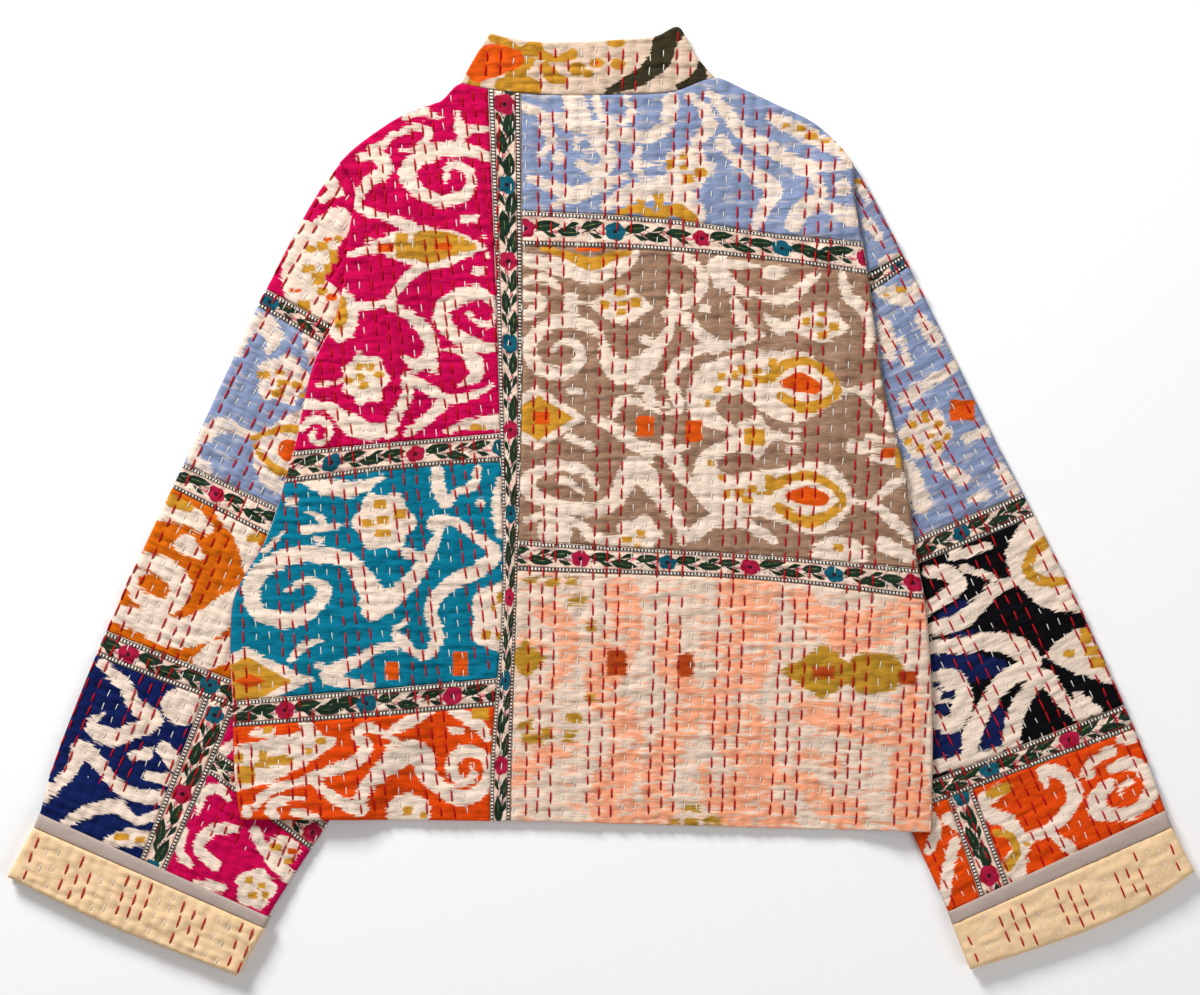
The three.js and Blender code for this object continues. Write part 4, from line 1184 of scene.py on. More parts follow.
class Finish:
    """A material with one Principled shader. node() takes a type, its settings and its sockets."""

    def __init__(self, name, **sockets):
        self.material = bpy.data.materials.new(name)
        self.material.use_nodes = True
        self.tree = self.material.node_tree
        self.shader = self.tree.nodes["Principled BSDF"]
        for socket, value in sockets.items():
            self.shader.inputs[socket.replace("_", " ")].default_value = value

    def node(self, kind, settings=None, inputs=None, out=0):
        node = self.tree.nodes.new(kind)
        for key, value in (settings or {}).items():
            setattr(node, key, value)
        for socket, value in (inputs or {}).items():
            if isinstance(value, Value):
                self.tree.links.new(value.socket, node.inputs[socket])
            else:
                node.inputs[socket].default_value = value
        return Value(self, node.outputs[out])

    def attribute(self, name):
        """What the mesh holds under a name, at the point that is shaded."""
        return self.node("ShaderNodeAttribute", {"attribute_name": name}, out="Fac")

    def mix(self, share, a, b):
        """A colour between two: a where the share is 0, and b where it is 1."""
        return self.node("ShaderNodeMix", {"data_type": "RGBA"}, {0: share, 6: a, 7: b}, out=2)

    def scaled(self, color, factor):
        """A colour made lighter or darker by a factor that changes over the cloth."""
        grey = self.node("ShaderNodeCombineXYZ", {}, {0: factor, 1: factor, 2: factor})
        return self.node("ShaderNodeVectorMath", {"operation": "MULTIPLY"}, {0: color, 1: grey})

    def noise(self, across, along, detail=2.0):
        """Noise from 0 to 1 in the cloth's own directions, with a size in mm for each."""
        place = self.node("ShaderNodeCombineXYZ", {}, {0: self.attribute("across") / across,
                                                       1: self.attribute("along") / along})
        return self.node("ShaderNodeTexNoise", {}, {"Vector": place, "Scale": 1.0, "Detail": detail})

    def done(self, color, height, strength=0.6):
        """The material, with a colour and with bump from a height in mm."""
        bump = self.node("ShaderNodeBump", {}, {"Strength": strength, "Distance": MM, "Height": height})
        self.tree.links.new(color.socket, self.shader.inputs["Base Color"])
        self.tree.links.new(bump.socket, self.shader.inputs["Normal"])
        return self.material


def dye(hexcode):
    """A colour as it looks on screen, made linear: c / 12.92 where it is dark, else a power of 2.4."""
    c = np.array([int(hexcode[i:i + 2], 16) for i in (0, 2, 4)]) / 255
    return (*np.where(c < 0.04045, c / 12.92, ((c + 0.055) / 1.055) ** 2.4), 1.0)


def darker(color, share):
    """A colour with only a share of its light."""
    return tuple(share * c for c in color[:3]) + (1,)


# %% [markdown]
# An ikat cloth: over the ground colour lie cream, gold, orange and a second dark dye. Each edge is
# pushed in and out by noise that is long across the rows and fine along them, as thread by thread
# shifts do. The ground is uneven too: dye takes in streaks and has faded.

# %% Ikat cloth
TEETH, TUFTS, FRAY = 7.5, 5.0, 2.2  # mm, the whole width of each noise that moves an edge
STREAKED, BLOTCHED = 0.24, 0.22  # shares of the light that the dye's unevenness takes or adds
WARP_STEP, WEFT_STEP = 0.62, 0.7  # mm from thread to thread
CREAM, GOLD, WARM = dye("e9d3c0"), dye("c58c2a"), dye("d3500c")
COTTON = {"Roughness": 0.9, "Specular_IOR_Level": 0.1}


def ikat(name, ground, light=CREAM, gold=GOLD, warm=WARM, deep=None, feather=1.0, soft=1.1, worn=0.0):
    """feather scales how far the edges run in and out, in teeth of one or two threads. worn is how much
    the ground shows through the drawing, and the drawing in the ground, in streaks."""
    cloth = Finish(name, **COTTON)
    comb = (cloth.noise(9, 1.5, 3.0) - 0.5) * TEETH + (cloth.noise(22, 3.4) - 0.5) * TUFTS
    push = comb * (cloth.noise(60, 22, 1.0) * 1.6 + 0.2) * feather + (cloth.noise(6, 5) - 0.5) * FRAY
    streaks = cloth.noise(40, 1.6) - 0.5
    blotch = cloth.noise(30, 34) - 0.5
    color = cloth.mix((cloth.noise(24, 9) * 1.4 - 0.35).clipped(), ground, darker(ground, 0.84))
    layers = (("deep", deep, 1.0, 0), ("light", light, 1.0, 0.35), ("gold", gold, 0.6, 0.1),
              ("warm", warm, 0.35, 0))
    for key, tint, amount, edge in layers:
        if tint is not None:
            share = (cloth.attribute(key) + push * amount).above(edge, soft)
            if key == "light":
                gaps = cloth.noise(15, 3.4, 3.0).above(0.56, 0.12)
                strays = cloth.noise(19, 4.2, 3.0).above(0.6, 0.12)
                share = share * (1.0 - gaps * worn) + (1.0 - share) * strays * worn
            color = cloth.mix(share, color, tint)
    color = cloth.scaled(color, 1.0 + streaks * STREAKED + blotch * BLOTCHED)
    threads = (cloth.attribute("across").sine(WARP_STEP) * 0.5
               + cloth.attribute("along").sine(WEFT_STEP) * 0.5)
    height = threads * 0.05 + cloth.noise(3.2, 1.3, 4.0) * 0.55 + cloth.noise(11, 3.6, 1.0) * 1.5
    return cloth.done(color, height)


# %% [markdown]
# Ten cloths are dyed this way, and the peach one is the softest, where the dyes ran most. Their colours
# are chosen by looking at the render beside the photograph.

# %% The ikat cloths
MATERIALS = {
    "magenta": ikat("magenta ikat", dye("c4004b")),
    "turquoise": ikat("turquoise ikat", dye("04748f")),
    "orange": ikat("orange ikat", dye("dd4606")),
    "light_blue": ikat("light blue ikat", dye("8492b3"), feather=1.3, worn=0.35),
    "taupe": ikat("taupe ikat", dye("9b7860"), worn=0.12),
    "peach": ikat("peach ikat", dye("e8cfba"), light=dye("f0a07a"), gold=dye("b08226"), warm=dye("a63f12"),
                  feather=2.6, soft=2.4, worn=0.85),
    "amber": ikat("amber ikat", dye("cf6206")),
    "navy": ikat("navy ikat", dye("0d1c52")),
    "black": ikat("black ikat", dye("060609"), deep=dye("101c4a")),
    "collar": ikat("collar ikat", dye("d9bea6"), light=dye("e6d4be"), gold=dye("b98226"), deep=dye("35301f"),
                   feather=0.7),
}

# %% [markdown]
# The border strips are block-printed cotton: on cream, a garland of dark leaves and small flowers on
# a winding stem, and at both edges a rope line, white dots on black beside a thin red line. The
# garland comes as depth fields; the rope follows the distance from the edge and the way along it.

# %% Border, lining, binding and threads
PRINT_BLACK = dye("17130f")


def border():
    """The printed strip: a blushed ground with specks, the garland's inks in the order of printing, and
    the rope lines at both edges."""
    cloth = Finish("border print", **COTTON)
    edge, along = cloth.attribute("edge"), cloth.attribute("garland_along")
    smudge = (cloth.noise(2.2, 2.2, 3.0) - 0.5) * 0.9
    color = cloth.mix((cloth.noise(9, 9) * 2 - 0.6).clipped(), dye("ecd8c4"), dye("dfb9a4"))
    speck = cloth.noise(2.6, 2.6, 1.0).above(0.66, 0.05)
    color = cloth.mix(speck * 0.75, color, dye("a9485a"))
    blocks = {"twig": ("3a2620", 0.4), "petal": ("d2707c", 0.4), "leaf": ("1b2f22", 0.4),
              "vein": ("6a7440", 0.3), "flower": ("a5173c", 0.5), "teal": ("0f5566", 0.5),
              "heart": ("2a1420", 0.4)}
    for key, (tint, soft) in blocks.items():
        color = cloth.mix((cloth.attribute(key) + smudge * 0.6).above(0, soft), color, dye(tint))
    rope = edge.above(0.5, 0.3) * (1.0 - edge.above(4.0, 0.3))
    dots = (along + smudge * 0.7).sine(2.7).above(0.1, 0.6)
    ticks = dots * edge.above(1.2, 0.4) * (1.0 - edge.above(3.2, 0.4))
    red = edge.above(4.2, 0.3) * (1.0 - edge.above(4.8, 0.3)) * cloth.noise(8, 8).above(0.45, 0.1)
    color = cloth.mix(rope * 0.93, color, PRINT_BLACK)
    color = cloth.mix(ticks * 0.95, color, dye("efe6da"))
    color = cloth.mix(red * 0.8, color, dye("9c2b2e"))
    color = cloth.scaled(color, 1.0 + (cloth.noise(5, 5) - 0.5) * 0.22)
    return cloth.done(color, cloth.noise(3.2, 1.3, 4.0) * 0.5)


def plain(name, tint, shade, wrinkle=0.5):
    """One dyed cloth with a little unevenness: tint and shade mixed by soft noise."""
    cloth = Finish(name, **COTTON)
    color = cloth.mix((cloth.noise(18, 7) * 1.6 - 0.4).clipped(), tint, shade)
    color = cloth.scaled(color, 1.0 + (cloth.noise(3.0, 1.1) - 0.5) * 0.16)
    return cloth.done(color, cloth.noise(3.2, 1.3, 4.0) * wrinkle)


def thread(name, tint):
    """Two-ply cotton: faint darker turns along the stitch, by noise in the object's coordinates."""
    cloth = Finish(name, Roughness=0.85, Specular_IOR_Level=0.1)
    place = cloth.node("ShaderNodeTexCoord", out="Object")
    turns = cloth.node("ShaderNodeTexNoise", {}, {"Vector": place, "Scale": 900.0, "Detail": 1.0})
    color = cloth.scaled(cloth.mix(turns * 0.4, tint, darker(tint, 0.55)), 1.0 - turns * 0.1)
    return cloth.done(color, turns, strength=0.2)


MATERIALS |= {
    "border": border(),
    "lining": plain("cuff lining", dye("f0cfa6"), dye("e9c393")),
    "binding": plain("cuff binding", dye("b9a89e"), dye("ab988d"), 0.25),
    "red_thread": thread("red thread", dye("bd101c")),
    "white_thread": thread("white thread", dye("f2ece0")),
}
paper = Finish("floor paper", Roughness=0.9, Base_Color=(0.98, 0.98, 0.98, 1))
floor.data.materials.append(paper.material)
print("finishes:", len(MATERIALS))

# %% [markdown]
# ## A piece of cloth
# Each piece is a grid between its four lines (a Coons patch), fine on the face that shows and with
# every fourth point on the other. The two are joined by a rim into one closed shell, and the last
# two lines of the grid roll down to the seam, as a turned edge does.


# %% Grids and shells
GAP = 0.15  # half of the space between two pieces at a seam
ROLL = (0.4, 0.82)  # share of the thickness on the last two lines
TUCK = (0.45, 1.2)  # how far in the next two lines lie
BACK_STEP = 4  # grid steps of the face for one of the back
DENSE_LINE = 30  # a line with fewer points is a pattern line, which is curved first


def even(length, step):
    """Places across a length in even steps, with two closer ones at each end, 4 n + 1 in all."""
    n = BACK_STEP * max(2, int(round(length / step / BACK_STEP)))
    middle = np.linspace(TUCK[1], length - TUCK[1], n - 3)
    return np.r_[GAP, TUCK[0], middle, length - TUCK[0], length - GAP] / length


def coons(bottom, right, top, left, step, step_v=None):
    """A grid between four lines. Point (u, v) is the blend of bottom and top at u, plus the blend of
    left and right at v, minus the blend of the four corners. Also gives u and v in mm."""
    b, r, t, l = (longer(curve_through(line) if len(line) < DENSE_LINE else line)
                  for line in (bottom, right, top, left))
    (bl, lb), (br, rb), (tl, lt), (tr, rt) = (crossing(a, c) for a, c in ((b, l), (b, r), (t, l), (t, r)))
    b, t, l, r = stretch(b, bl, br), stretch(t, tl, tr), stretch(l, lb, lt), stretch(r, rb, rt)
    wide = (distances(b)[-1] + distances(t)[-1]) / 2
    high = (distances(l)[-1] + distances(r)[-1]) / 2
    fu, fv = even(wide, step), even(high, step_v or step)
    u, v = fu[:, None, None], fv[None, :, None]
    corners = (1 - v) * ((1 - u) * b[0] + u * b[-1]) + v * ((1 - u) * t[0] + u * t[-1])
    grid = ((1 - v) * spread(b, fu)[:, None] + v * spread(t, fu)[:, None]
            + (1 - u) * spread(l, fv)[None] + u * spread(r, fv)[None] - corners)
    return grid, fu * wide, fv * high


def shell(name, plan, face, back, up=True, fields=None):
    """A closed mesh from a plan grid in mm: face and back are heights over it. The back keeps every
    fourth point, and each rim facet joins one back edge to four face edges."""
    n, m = plan.shape[:2]
    number = np.arange(n * m).reshape(n, m)
    thin = np.s_[::BACK_STEP, ::BACK_STEP]
    coarse = n * m + np.arange(number[thin].size).reshape(number[thin].shape)
    points = np.vstack([
        np.dstack([plan, face]).reshape(-1, 3),
        np.dstack([plan, back])[thin].reshape(-1, 3),
    ])
    quads = lambda g: np.stack([g[:-1, :-1], g[1:, :-1], g[1:, 1:], g[:-1, 1:]], -1).reshape(-1, 4)
    fine_loop = [number[:, 0], number[-1], number[::-1, -1], number[0, ::-1]]
    coarse_loop = [coarse[:, 0], coarse[-1], coarse[::-1, -1], coarse[0, ::-1]]
    each = lambda line, k: line[k:len(line) - BACK_STEP + k:BACK_STEP]
    rim = [np.column_stack([low[:-1], low[1:], *(each(top, k) for k in range(BACK_STEP, -1, -1))])
           for top, low in zip(fine_loop, coarse_loop)]
    faces = [*quads(number).tolist(), *quads(coarse)[:, ::-1].tolist(), *np.vstack(rim).tolist()]
    edge_u, edge_v = plan[-1, 0] - plan[0, 0], plan[0, -1] - plan[0, 0]
    if (edge_u[0] * edge_v[1] - edge_u[1] * edge_v[0] > 0) != up:
        faces = [f[::-1] for f in faces]
    mesh = bpy.data.meshes.new(name)
    mesh.from_pydata((points * MM).tolist(), [], faces)
    for key, values in (fields or {}).items():
        values = np.broadcast_to(values, (n, m))
        layer = mesh.attributes.new(key, "FLOAT", "POINT")
        layer.data.foreach_set("value", np.r_[values.ravel(), values[thin].ravel()].astype(np.float32))
    mesh.shade_smooth()
    piece = bpy.data.objects.new(name, mesh)
    bpy.context.scene.collection.objects.link(piece)
    return piece


# %% [markdown]
# The quilting, the creases and the turned edges come together in one height for each grid point, over
# the CAD's own layer heights. Pieces that show only from below get a coarser grid, and less relief,
# because they lie on the floor.

# %% Cloth on its solid
GRAIN, SHOWN_UNDER = 1.5, 2.6  # grid steps, in mm
CREST_UNDER = 0.9
SHELTERED = 0.6  # share of the relief that is pressed away where the body lies on a sleeve
CREASE_FADE = 12  # mm from an edge over which creases grow
THIN_LEVEL = 0.45  # share of the thickness at which face and back meet where the cloth thins out
made = {}
PRINTS = {
    "back_left_top": MAGENTA, "back_left_middle": TURQUOISE, "back_left_bottom": ORANGE_BOTTOM,
    "back_right_top": LIGHT_BLUE_TOP, "back_right_middle": TAUPE, "back_right_bottom": PEACH,
    "collar_back": COLLAR, "collar_front_left": COLLAR, "collar_front_right": COLLAR,
    "sleeve_left_cap": LEFT_CAP, "sleeve_left_upper": LEFT_UPPER, "sleeve_left_middle": LEFT_MIDDLE,
    "sleeve_left_lower": LEFT_LOWER, "sleeve_left_inner_upper": LEFT_INNER,
    "sleeve_left_inner_lower": LEFT_INNER, "sleeve_right_cap": RIGHT_TOP, "sleeve_right_upper": RIGHT_TOP,
    "sleeve_right_middle": RIGHT_MIDDLE, "sleeve_right_lower": RIGHT_LOWER, "sleeve_right_inner": RIGHT_LOWER,
}
HIDDEN = ("front_left", "front_right", "sleeve_left_under", "sleeve_right_under")


def flat_area(plan):
    """The flat area of a grid in square metres: half the cross product of each cell's diagonals."""
    p, q = plan[1:, 1:] - plan[:-1, :-1], plan[:-1, 1:] - plan[1:, :-1]
    return float(np.abs(p[..., 0] * q[..., 1] - p[..., 1] * q[..., 0]).sum() / 2) * MM * MM


def flat_size(plan):
    """Width and length, in metres, of the smallest rectangle round a grid, over turns of 1 degree."""
    angle = np.radians(np.arange(0, 90))
    rim = np.vstack([plan[0], plan[-1], plan[:, 0], plan[:, -1]])
    turned = ([np.cos(angle), np.sin(angle)], [-np.sin(angle), np.cos(angle)])
    sizes = [np.ptp(rim @ axes, axis=0) for axes in turned]
    best = np.argmin(sizes[0] * sizes[1])
    return sorted(float(size[best]) * MM for size in sizes)


def edge_distances(u, v):
    """The distance of every grid point from each of the four edges, in mm."""
    u, v = np.meshgrid(u, v, indexing="ij")
    return {"left": u, "right": u.max() - u, "bottom": v, "top": v.max() - v}


def bends(name, x, y, up):
    """The creases of a piece. Cuffs and collar lie flat, and what lies on the floor can only rise."""
    if name.startswith(("cuff", "collar")):
        return 0 * x
    covered = under_body(x, y) if name.startswith("sleeve") else 0
    bend = creases(x, y, "up" if up else "down") * (1 - covered)
    return bend if up else np.maximum(bend, 0)


def cloth(name, lines, layer, rows=None, step=GRAIN, step_v=None, up=True, joined={}, bumps=None):
    """One piece: grid, relief on the face that shows, and the other face plain. layer(x, y) is the
    height of its underside, and up says which face shows. An edge in joined turns over to the layer
    next to it: a quarter circle of radius r, 1 - sqrt(1 - q^2) times r, and the inside follows."""
    plan, u, v = coons(*lines, step, step_v)
    x, y = plan[..., 0], plan[..., 1]
    under = layer(x, y)
    edges = edge_distances(u, v)
    share, turn, reach = np.ones(x.shape), np.zeros(x.shape), np.zeros(x.shape)
    for edge, far in edges.items():
        if edge in joined:
            radius = joined[edge]
            q = np.clip(1 - (far - GAP) / radius, 0, 1)
            turn = np.maximum(turn, radius * (1 - np.sqrt(1 - q * q)))
            reach = np.maximum(reach, np.where(q > 0.999, radius / 2 + GAP, 0))
        else:
            share = np.minimum(share, np.interp(far, (GAP, TUCK[0], TUCK[1]), (*ROLL, 1)))
    height = relief(rows, x, y) if bumps is None else bumps(x, y, edges)
    if name.startswith("sleeve") and up:
        height = height * (1 - SHELTERED * under_body(x, y))
    height = height * share * np.clip(1 - turn, 0, 1)
    inside = under + CLOTH * THIN_LEVEL * (1 - share)
    bend = bends(name, x, y, up) * smooth(np.min(list(edges.values()), axis=0) / CREASE_FADE)
    if up:
        face = under + CLOTH * (THIN_LEVEL + (1 - THIN_LEVEL) * share) + height + bend - turn
        back = inside + bend - reach
    else:
        face = inside + CREST_UNDER - np.minimum(height, CREST_UNDER) + bend + turn
        back = under + CLOTH + bend + reach
    row, along, row_step = rows.to_rows(x, y)
    fields = {"across": row * row_step, "along": along}
    if name in PRINTS:
        fields |= drawn(x, y, PRINTS[name])
    elif name in HIDDEN:
        fields |= turned_down(x, y)
    elif "_border_" in name:
        fields |= strip_fields(edges, len(made))
    piece = shell(f"{name}_cloth", plan, face, back, up, fields)
    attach(piece, "root")
    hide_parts(name)
    size = flat_size(plan)
    made[name] = {"piece": piece, "flat": size, "area": flat_area(plan), "plan": plan, "rows": rows,
                  "layer": layer, "up": up, "threads": []}
    print(name, "grid", x.shape, "cut from", " x ".join(str(round(c / MM)) for c in size), "mm")
    return piece


# %% [markdown]
# ## The back
# Two columns of three patches with a border strip between each, and the long border between the
# columns. The side seams at the outer edges turn over to the fronts; the shoulder edges only roll down.

# %% The back
ALONG_STEP, ACROSS_STEP = GRAIN, 1.0  # a border's pattern is finer than a patch's
SEAM_TURN = CLOTH
COLUMN_PARTS = ("top", "border_upper", "middle", "border_lower", "bottom")
back_layer = lambda x, y: body_rise(x, y) + LAYER
COLUMNS = {
    "left": (LEFT_SIDE, LONG_BORDER[0], [LEFT_SHOULDER[::-1] + NECK, *LEFT_SEAMS, HEM], ROWS_LEFT),
    "right": (LONG_BORDER[1], RIGHT_SIDE, [NECK + RIGHT_SHOULDER, *RIGHT_SEAMS, HEM], ROWS_RIGHT),
}
for column, (left, right, seams, rows) in COLUMNS.items():
    for part, above, below in zip(COLUMN_PARTS, seams, seams[1:]):
        across = ACROSS_STEP if "border" in part else None
        cloth(f"back_{column}_{part}", (below, right, above, left), back_layer, rows, ALONG_STEP, across,
              joined={column: SEAM_TURN})
cloth("back_border_long", (HEM, LONG_BORDER[1], NECK, LONG_BORDER[0]), back_layer, ROWS_RIGHT, ACROSS_STEP,
      ALONG_STEP)

# %% [markdown]
# ## Fronts and collar
# The fronts lie under the back and show only from below, so they are plain quilted cloths that meet
# at the centre front. The collar stands up from the neck: its back half shows, and the two front
# halves lie under it.


# %% Fronts and collar
COLLAR_GRAIN, OVERLAP = 1.2, 30  # mm


def neck_curve(left, right):
    """From one side of the neck to the other, dropped by half a sine wave."""
    t = np.linspace(0, 1, 41)[:, None]
    ends = np.asarray(left, float) * (1 - t) + np.asarray(right, float) * t
    return ends - np.hstack([0 * t, FRONT_NECK_DROP * np.sin(np.pi * t)])


def upto(line, x, before=True):
    """The part of a line of points before or after a given x, and a little more."""
    return line[line[:, 0] < x + OVERLAP] if before else line[line[:, 0] > x - OVERLAP]


front_neck = neck_curve(NECK[0], NECK[-1])
collar_front_top = neck_curve(COLLAR_LEFT[-1], COLLAR_RIGHT[-1])
for side, before in (("left", True), ("right", False)):
    x = CENTRE_FRONT + (-GAP if before else GAP)
    centre = np.array([[x, y] for y in range(-300, 400, 100)], float)
    shoulder = np.array(LEFT_SHOULDER[::-1] if before else RIGHT_SHOULDER, float)
    neck = upto(front_neck, x, before)
    top = np.vstack([shoulder, neck] if before else [neck, shoulder])
    top = spread(top, np.linspace(0, 1, 120))
    side_lines = (centre, LEFT_SIDE) if before else (RIGHT_SIDE, centre)
    cloth(f"front_{side}", (HEM, side_lines[0], top, side_lines[1]), body_rise,
          ROWS_LEFT if before else ROWS_RIGHT, SHOWN_UNDER, up=False, joined={side: SEAM_TURN})
    ends = (centre, COLLAR_LEFT) if before else (COLLAR_RIGHT, centre)
    cloth(f"collar_front_{side}", (neck, ends[0], upto(collar_front_top, x, before), ends[1]),
          lambda x, y: 0 * x, ROWS_RIGHT, SHOWN_UNDER, up=False, joined={side: SEAM_TURN})
cloth("collar_back", (NECK, COLLAR_RIGHT, COLLAR_TOP, COLLAR_LEFT), lambda x, y: 0 * x + LAYER, ROWS_RIGHT,
      COLLAR_GRAIN)

# %% [markdown]
# ## Sleeves
# A sleeve is a flat tube: patches and borders in rings on its upper side, one plain layer under it,
# and both long edges folded. Near the cuff a lengthwise border joins the last ring's patches.

# %% Sleeves
RINGS_DOWN = ("cap", "border_1", "upper", "border_2", "middle", "border_3")
for side, sleeve in SLEEVES.items():
    rise = sleeve_rise(sleeve)
    upper = lambda x, y: rise(x, y) + LAYER
    rows = ROWS_SLEEVE[side]
    outer, inner = sleeve["outer"], sleeve["inner"]
    left, right = (outer, inner) if side == "left" else (inner, outer)
    folds = {"left": SEAM_TURN, "right": SEAM_TURN}
    tops = [sleeve["cap_side"], *sleeve["seams"]]
    for part, above, below in zip(RINGS_DOWN, tops, tops[1:]):
        across = ACROSS_STEP if "border" in part else None
        cloth(f"sleeve_{side}_{part}", (below, right, above, left), upper, rows, ALONG_STEP, across,
              joined=folds)
    long_left, long_right = sleeve["lengthwise"]
    seam, end = sleeve["seams"][-1], sleeve["end"] if side == "left" else sleeve["end"][::-1]
    cloth(f"sleeve_{side}_border_long", (end, long_right, seam, long_left), upper, rows, ACROSS_STEP,
          ALONG_STEP)
    outside = ((end, long_left, seam, left), {"left": SEAM_TURN})
    inside = ((end, right, seam, long_right), {"right": SEAM_TURN})
    if side == "left":
        short_top, short_bottom = SHORT_BORDER
        cloth("sleeve_left_lower", outside[0], upper, rows, joined=outside[1])
        cloth("sleeve_left_inner_upper", (short_top, right, seam, long_right), upper, rows, joined=inside[1])
        cloth("sleeve_left_border_short", (short_bottom, right, short_top, long_right), upper, rows,
              ALONG_STEP, ACROSS_STEP, joined=inside[1])
        cloth("sleeve_left_inner_lower", (end, right, short_bottom, long_right), upper, rows,
              joined=inside[1])
    else:
        cloth("sleeve_right_inner", outside[0], upper, rows, joined=outside[1])
        cloth("sleeve_right_lower", inside[0], upper, rows, joined=inside[1])
    cloth(f"sleeve_{side}_under", (end, right, sleeve["cap_side"], left), rise, rows, SHOWN_UNDER, up=False,
          joined=folds)

# %% [markdown]
# ## Turned-back cuffs
# The sleeve's end is folded back over itself and shows the lining, and a narrow binding covers the
# raw edge. The fold at the lower edge is round, and the binding is a folded strip without quilting.

# %% Cuffs
FOLD = 2.9
CROWN = 0.5


def crowned(x, y, edges):
    """A folded strip: 0.5 mm higher along its middle, as a parabola, with faint ripples."""
    share = 4 * edges["top"] * edges["bottom"] / (edges["top"] + edges["bottom"]) ** 2
    return CROWN * share + 0.12 * value_noise(x / 9, y / 7, 61)


for side, sleeve in SLEEVES.items():
    sign = 1 if side == "left" else -1
    top, low = (np.array(line, float)[::sign] for line in sleeve["binding"])
    edge = np.array(sleeve["cuff_edge"], float)[::sign]
    for suffix, z, up in (("", CUFF_STACK, True), ("_under", 0, False)):
        flat = lambda x, y, z=z: 0 * x + z
        step = GRAIN if up else SHOWN_UNDER
        cuff_lines = (edge, np.array([edge[-1], low[-1]]), low, np.array([edge[0], low[0]]))
        cloth(f"cuff_{side}{suffix}", cuff_lines, flat, ROWS_SLEEVE[side], step, up=up,
              joined={"bottom": FOLD, "left": SEAM_TURN, "right": SEAM_TURN})
        strip = (low, np.array([low[-1], top[-1]]), top, np.array([low[0], top[0]]))
        cloth(f"cuff_binding_{side}{suffix}", strip, flat, ROWS_SLEEVE[side], step, step_v=ACROSS_STEP, up=up,
              joined={"left": SEAM_TURN, "right": SEAM_TURN}, bumps=crowned)

# %% [markdown]
# ## Threads
# Thousands of stitches lie on the cloth, each one a short rounded bar that dives into it at both
# ends. They are worked out together as arrays from the same record of rows that made the relief, so
# each one lies in the hollow that it pulls, and are joined into one mesh a colour for each piece.


# %% Stitches
RINGS = np.array([-1.0, -0.5, 0.5, 1.0])  # along a stitch, from end to end
ANGLES = np.radians([45, 135, 225, 315])
THICK = {"red": 0.95, "white": 0.55}
REACH = 1.3  # a stitch is laid where the cloth goes on past its ends, by this share of its half
RAISED, DIVE = 0.45, 0.4  # share of the radius by which a stitch lies up, and mm that its ends go down
FLATTENED = 0.8
LENGTH_SPREAD, LEAN, ASIDE = 0.12, 0.025, 0.05  # share of the length, and shares of a row's step
PAST_ROW, MORE_STITCHES = 9, 40  # mm and stitches that are tried past a piece; its outline decides


def within(outline, x, y):
    """Whether points lie in a closed outline: an odd number of its edges is crossed to the right."""
    inside, corners = np.zeros(x.shape, bool), outline[::3]
    for (ax, ay), (bx, by) in zip(corners, np.roll(corners, -1, axis=0)):
        if ay != by:
            inside ^= ((ay > y) != (by > y)) & (x < ax + (y - ay) * (bx - ax) / (by - ay))
    return inside


def outline_of(name):
    """The outer line of a piece's grid, walked round once."""
    p = made[name]["plan"]
    return np.vstack([p[:-1, 0], p[-1, :-1], p[:0:-1, -1], p[0, :0:-1]])


def places(names):
    """The stitches that lie on some pieces with the same rows: where their rings are, their colour,
    and which piece holds the middle of each. A stitch may cross a seam, but not the outer edge."""
    rows, outlines = made[names[0]]["rows"], [outline_of(name) for name in names]
    row, along = (np.array(v) for v in rows.to_rows(*np.vstack(outlines).T)[:2])
    i = np.arange(int(row.min()) - 1, int(row.max()) + 2)
    first, last = (int(end / STITCH_PITCH) for end in (along.min(), along.max()))
    k = np.arange(first - MORE_STITCHES, last + MORE_STITCHES)
    i, k = (g.ravel() for g in np.meshgrid(i, k, indexing="ij"))
    pitch = rows.pitch[i % LONGEST_ROW]
    middle = rows.start[i % LONGEST_ROW] + (k + 0.5) * pitch + rows.nudge(i, k)
    near = (middle > along.min() - PAST_ROW) & (middle < along.max() + PAST_ROW)
    i, k, middle = i[near], k[near], middle[near]
    half = rows.length(i) / 2 * (1 + LENGTH_SPREAD * np.sin(3.1 * i + 5.3 * k))
    lean, aside = LEAN * np.sin(4.7 * i + 9.1 * k), ASIDE * np.sin(2.3 * k + i)
    to_plan = lambda r: np.stack(rows.to_plan(i + lean * r + aside, middle + r * half), 1)
    rings = np.stack([to_plan(r) for r in RINGS], 1)
    ends = [to_plan(r * REACH) for r in (-1, 1)]
    held = [np.any([within(outline, *end.T) for outline in outlines], axis=0) for end in ends]
    owner = np.full(len(i), -1)
    for n, outline in enumerate(outlines):
        owner[within(outline, *to_plan(0).T)] = n
    keep = held[0] & held[1] & (owner >= 0)
    return rings[keep], rows.red[i[keep] % LONGEST_ROW], owner[keep]


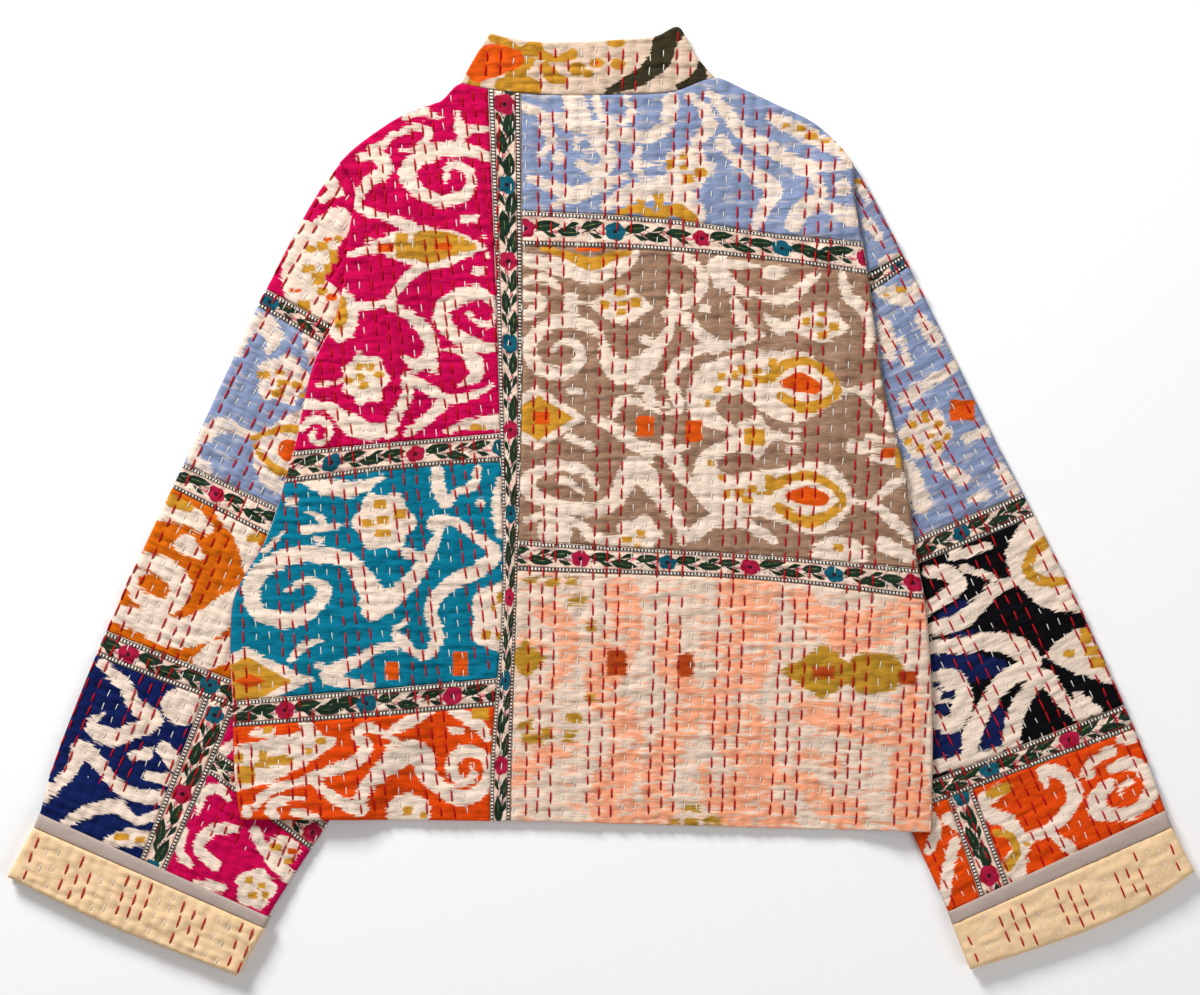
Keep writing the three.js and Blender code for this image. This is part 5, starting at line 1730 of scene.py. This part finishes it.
def stitches(name, rings, color):
    """Bars of four rings with four points each. The height follows the relief. A ring's radius falls to
    a third at the ends, and they dive into the cloth with the fourth power of the way from the middle."""
    piece, (x, y) = made[name], np.moveaxis(rings, -1, 0)
    lift = relief(piece["rows"], x, y) * (1 - SHELTERED * under_body(x, y) * name.startswith("sleeve"))
    z = piece["layer"](x, y) + bends(name, x, y, piece["up"])
    z = z + (CLOTH + lift if piece["up"] else CREST_UNDER - np.minimum(lift, CREST_UNDER))
    radius = THICK[color] * np.sqrt(1.1 - RINGS**2)
    z = np.maximum(z + (1 if piece["up"] else -1) * (RAISED * radius - DIVE * RINGS**4), radius)
    heading = rings[:, -1] - rings[:, 0]
    heading = heading / np.linalg.norm(heading, axis=1)[:, None]
    wide, tall = radius[:, None] * np.cos(ANGLES), FLATTENED * radius[:, None] * np.sin(ANGLES)
    ahead, aside = heading[:, 0, None, None], heading[:, 1, None, None]
    points = np.stack([x[:, :, None] + aside * wide, y[:, :, None] - ahead * wide, z[:, :, None] + tall], -1)
    sides = len(ANGLES)
    number = np.arange(points[..., 0].size).reshape(points.shape[:3])
    turned = np.roll(number, -1, axis=2)
    walls = np.stack([number[:, :-1], turned[:, :-1], turned[:, 1:], number[:, 1:]], -1).reshape(-1, 4)
    ends = np.vstack([number[:, 0, ::-1], number[:, -1]]).reshape(-1, sides)
    mesh = bpy.data.meshes.new(f"{name}_{color}_threads")
    mesh.from_pydata((points.reshape(-1, 3) * MM).tolist(), [], np.vstack([walls, ends]).tolist())
    mesh.shade_smooth()
    threads = bpy.data.objects.new(mesh.name, mesh)
    bpy.context.scene.collection.objects.link(threads)
    mesh.materials.append(MATERIALS[f"{color}_thread"])
    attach(threads, "root")
    return threads


# %% Threads on every piece
groups = {}
for name, piece in made.items():
    if "binding" not in name:
        body = name.split("_")[0] if name.startswith(("back", "sleeve")) else name
        groups.setdefault((body, piece["rows"].seed, piece["up"]), []).append(name)
for names in groups.values():
    rings, red, owner = places(names)
    if names[0].startswith("sleeve") and made[names[0]]["up"]:
        seen = under_body(*rings.mean(1).T) < 0.5
        rings, red, owner = rings[seen], red[seen], owner[seen]
    for n, name in enumerate(names):
        for color, is_red in (("red", True), ("white", False)):
            pick = (owner == n) & (red == is_red)
            if pick.any():
                made[name]["threads"].append(stitches(name, rings[pick], color))
    print(names[0], "and its neighbours:", len(rings), "stitches")


# %% [markdown]
# ## What each piece is
# Every piece is a sheet of cloth that was cut flat and lies flat, so its flat size is its own. The
# table gives the finish of each; what each lies on is worked out from its name, and not kept.

# %% Sheets and finishes
FINISHES = {
    "magenta": [
        "back_left_top", "front_left", "sleeve_left_cap", "sleeve_left_inner_upper",
        "sleeve_left_inner_lower",
    ],
    "turquoise": ["back_left_middle"],
    "orange": ["back_left_bottom", "sleeve_right_lower", "sleeve_right_inner"],
    "light_blue": [
        "back_right_top", "sleeve_left_upper", "sleeve_left_under", "sleeve_right_cap", "sleeve_right_upper",
        "sleeve_right_under",
    ],
    "taupe": ["back_right_middle", "front_right"],
    "peach": ["back_right_bottom"],
    "amber": ["sleeve_left_middle"],
    "navy": ["sleeve_left_lower"],
    "black": ["sleeve_right_middle"],
    "collar": ["collar_back", "collar_front_left", "collar_front_right"],
    "lining": ["cuff_left", "cuff_left_under", "cuff_right", "cuff_right_under"],
    "binding": [f"cuff_binding_{side}{suffix}" for side in SLEEVES for suffix in ("", "_under")],
    "border": [name for name in made if "_border_" in name],
}


def under_of(name):
    """What a piece lies on, by its name."""
    side = "left" if "left" in name else "right"
    if name.startswith("back"):
        return ["front_left", "front_right"]
    if name == "collar_back":
        return ["collar_front_left", "collar_front_right"]
    if name.startswith("front"):
        return [f"sleeve_{side}_under"]
    if name.startswith("sleeve") and not name.endswith("under"):
        return [f"sleeve_{side}_under"]
    if name.startswith("cuff") and not name.endswith("under"):
        return [f"sleeve_{side}_lower"]
    return []


for finish, names in FINISHES.items():
    for name in names:
        piece = made[name]["piece"]
        piece.data.materials.append(MATERIALS[finish])
        under_of(name)
print("pieces declared:", sum(map(len, FINISHES.values())), "of", len(made))
meshes = {item.name: item.data for item in bpy.data.objects if item.type == "MESH"}
triangles = {name: len(mesh.loops) - 2 * len(mesh.polygons) for name, mesh in meshes.items()}
most = max(triangles, key=triangles.get)
print("triangles:", sum(triangles.values()), "and most in", most, triangles[most])

# %% The boxes of the CAD and of the scene
shown_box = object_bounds()
{"cad": [list(corner) for corner in CAD_BOX], "scene": [list(corner) for corner in shown_box]}
print("scene box:", [round(c, 4) for corner in shown_box for c in corner])
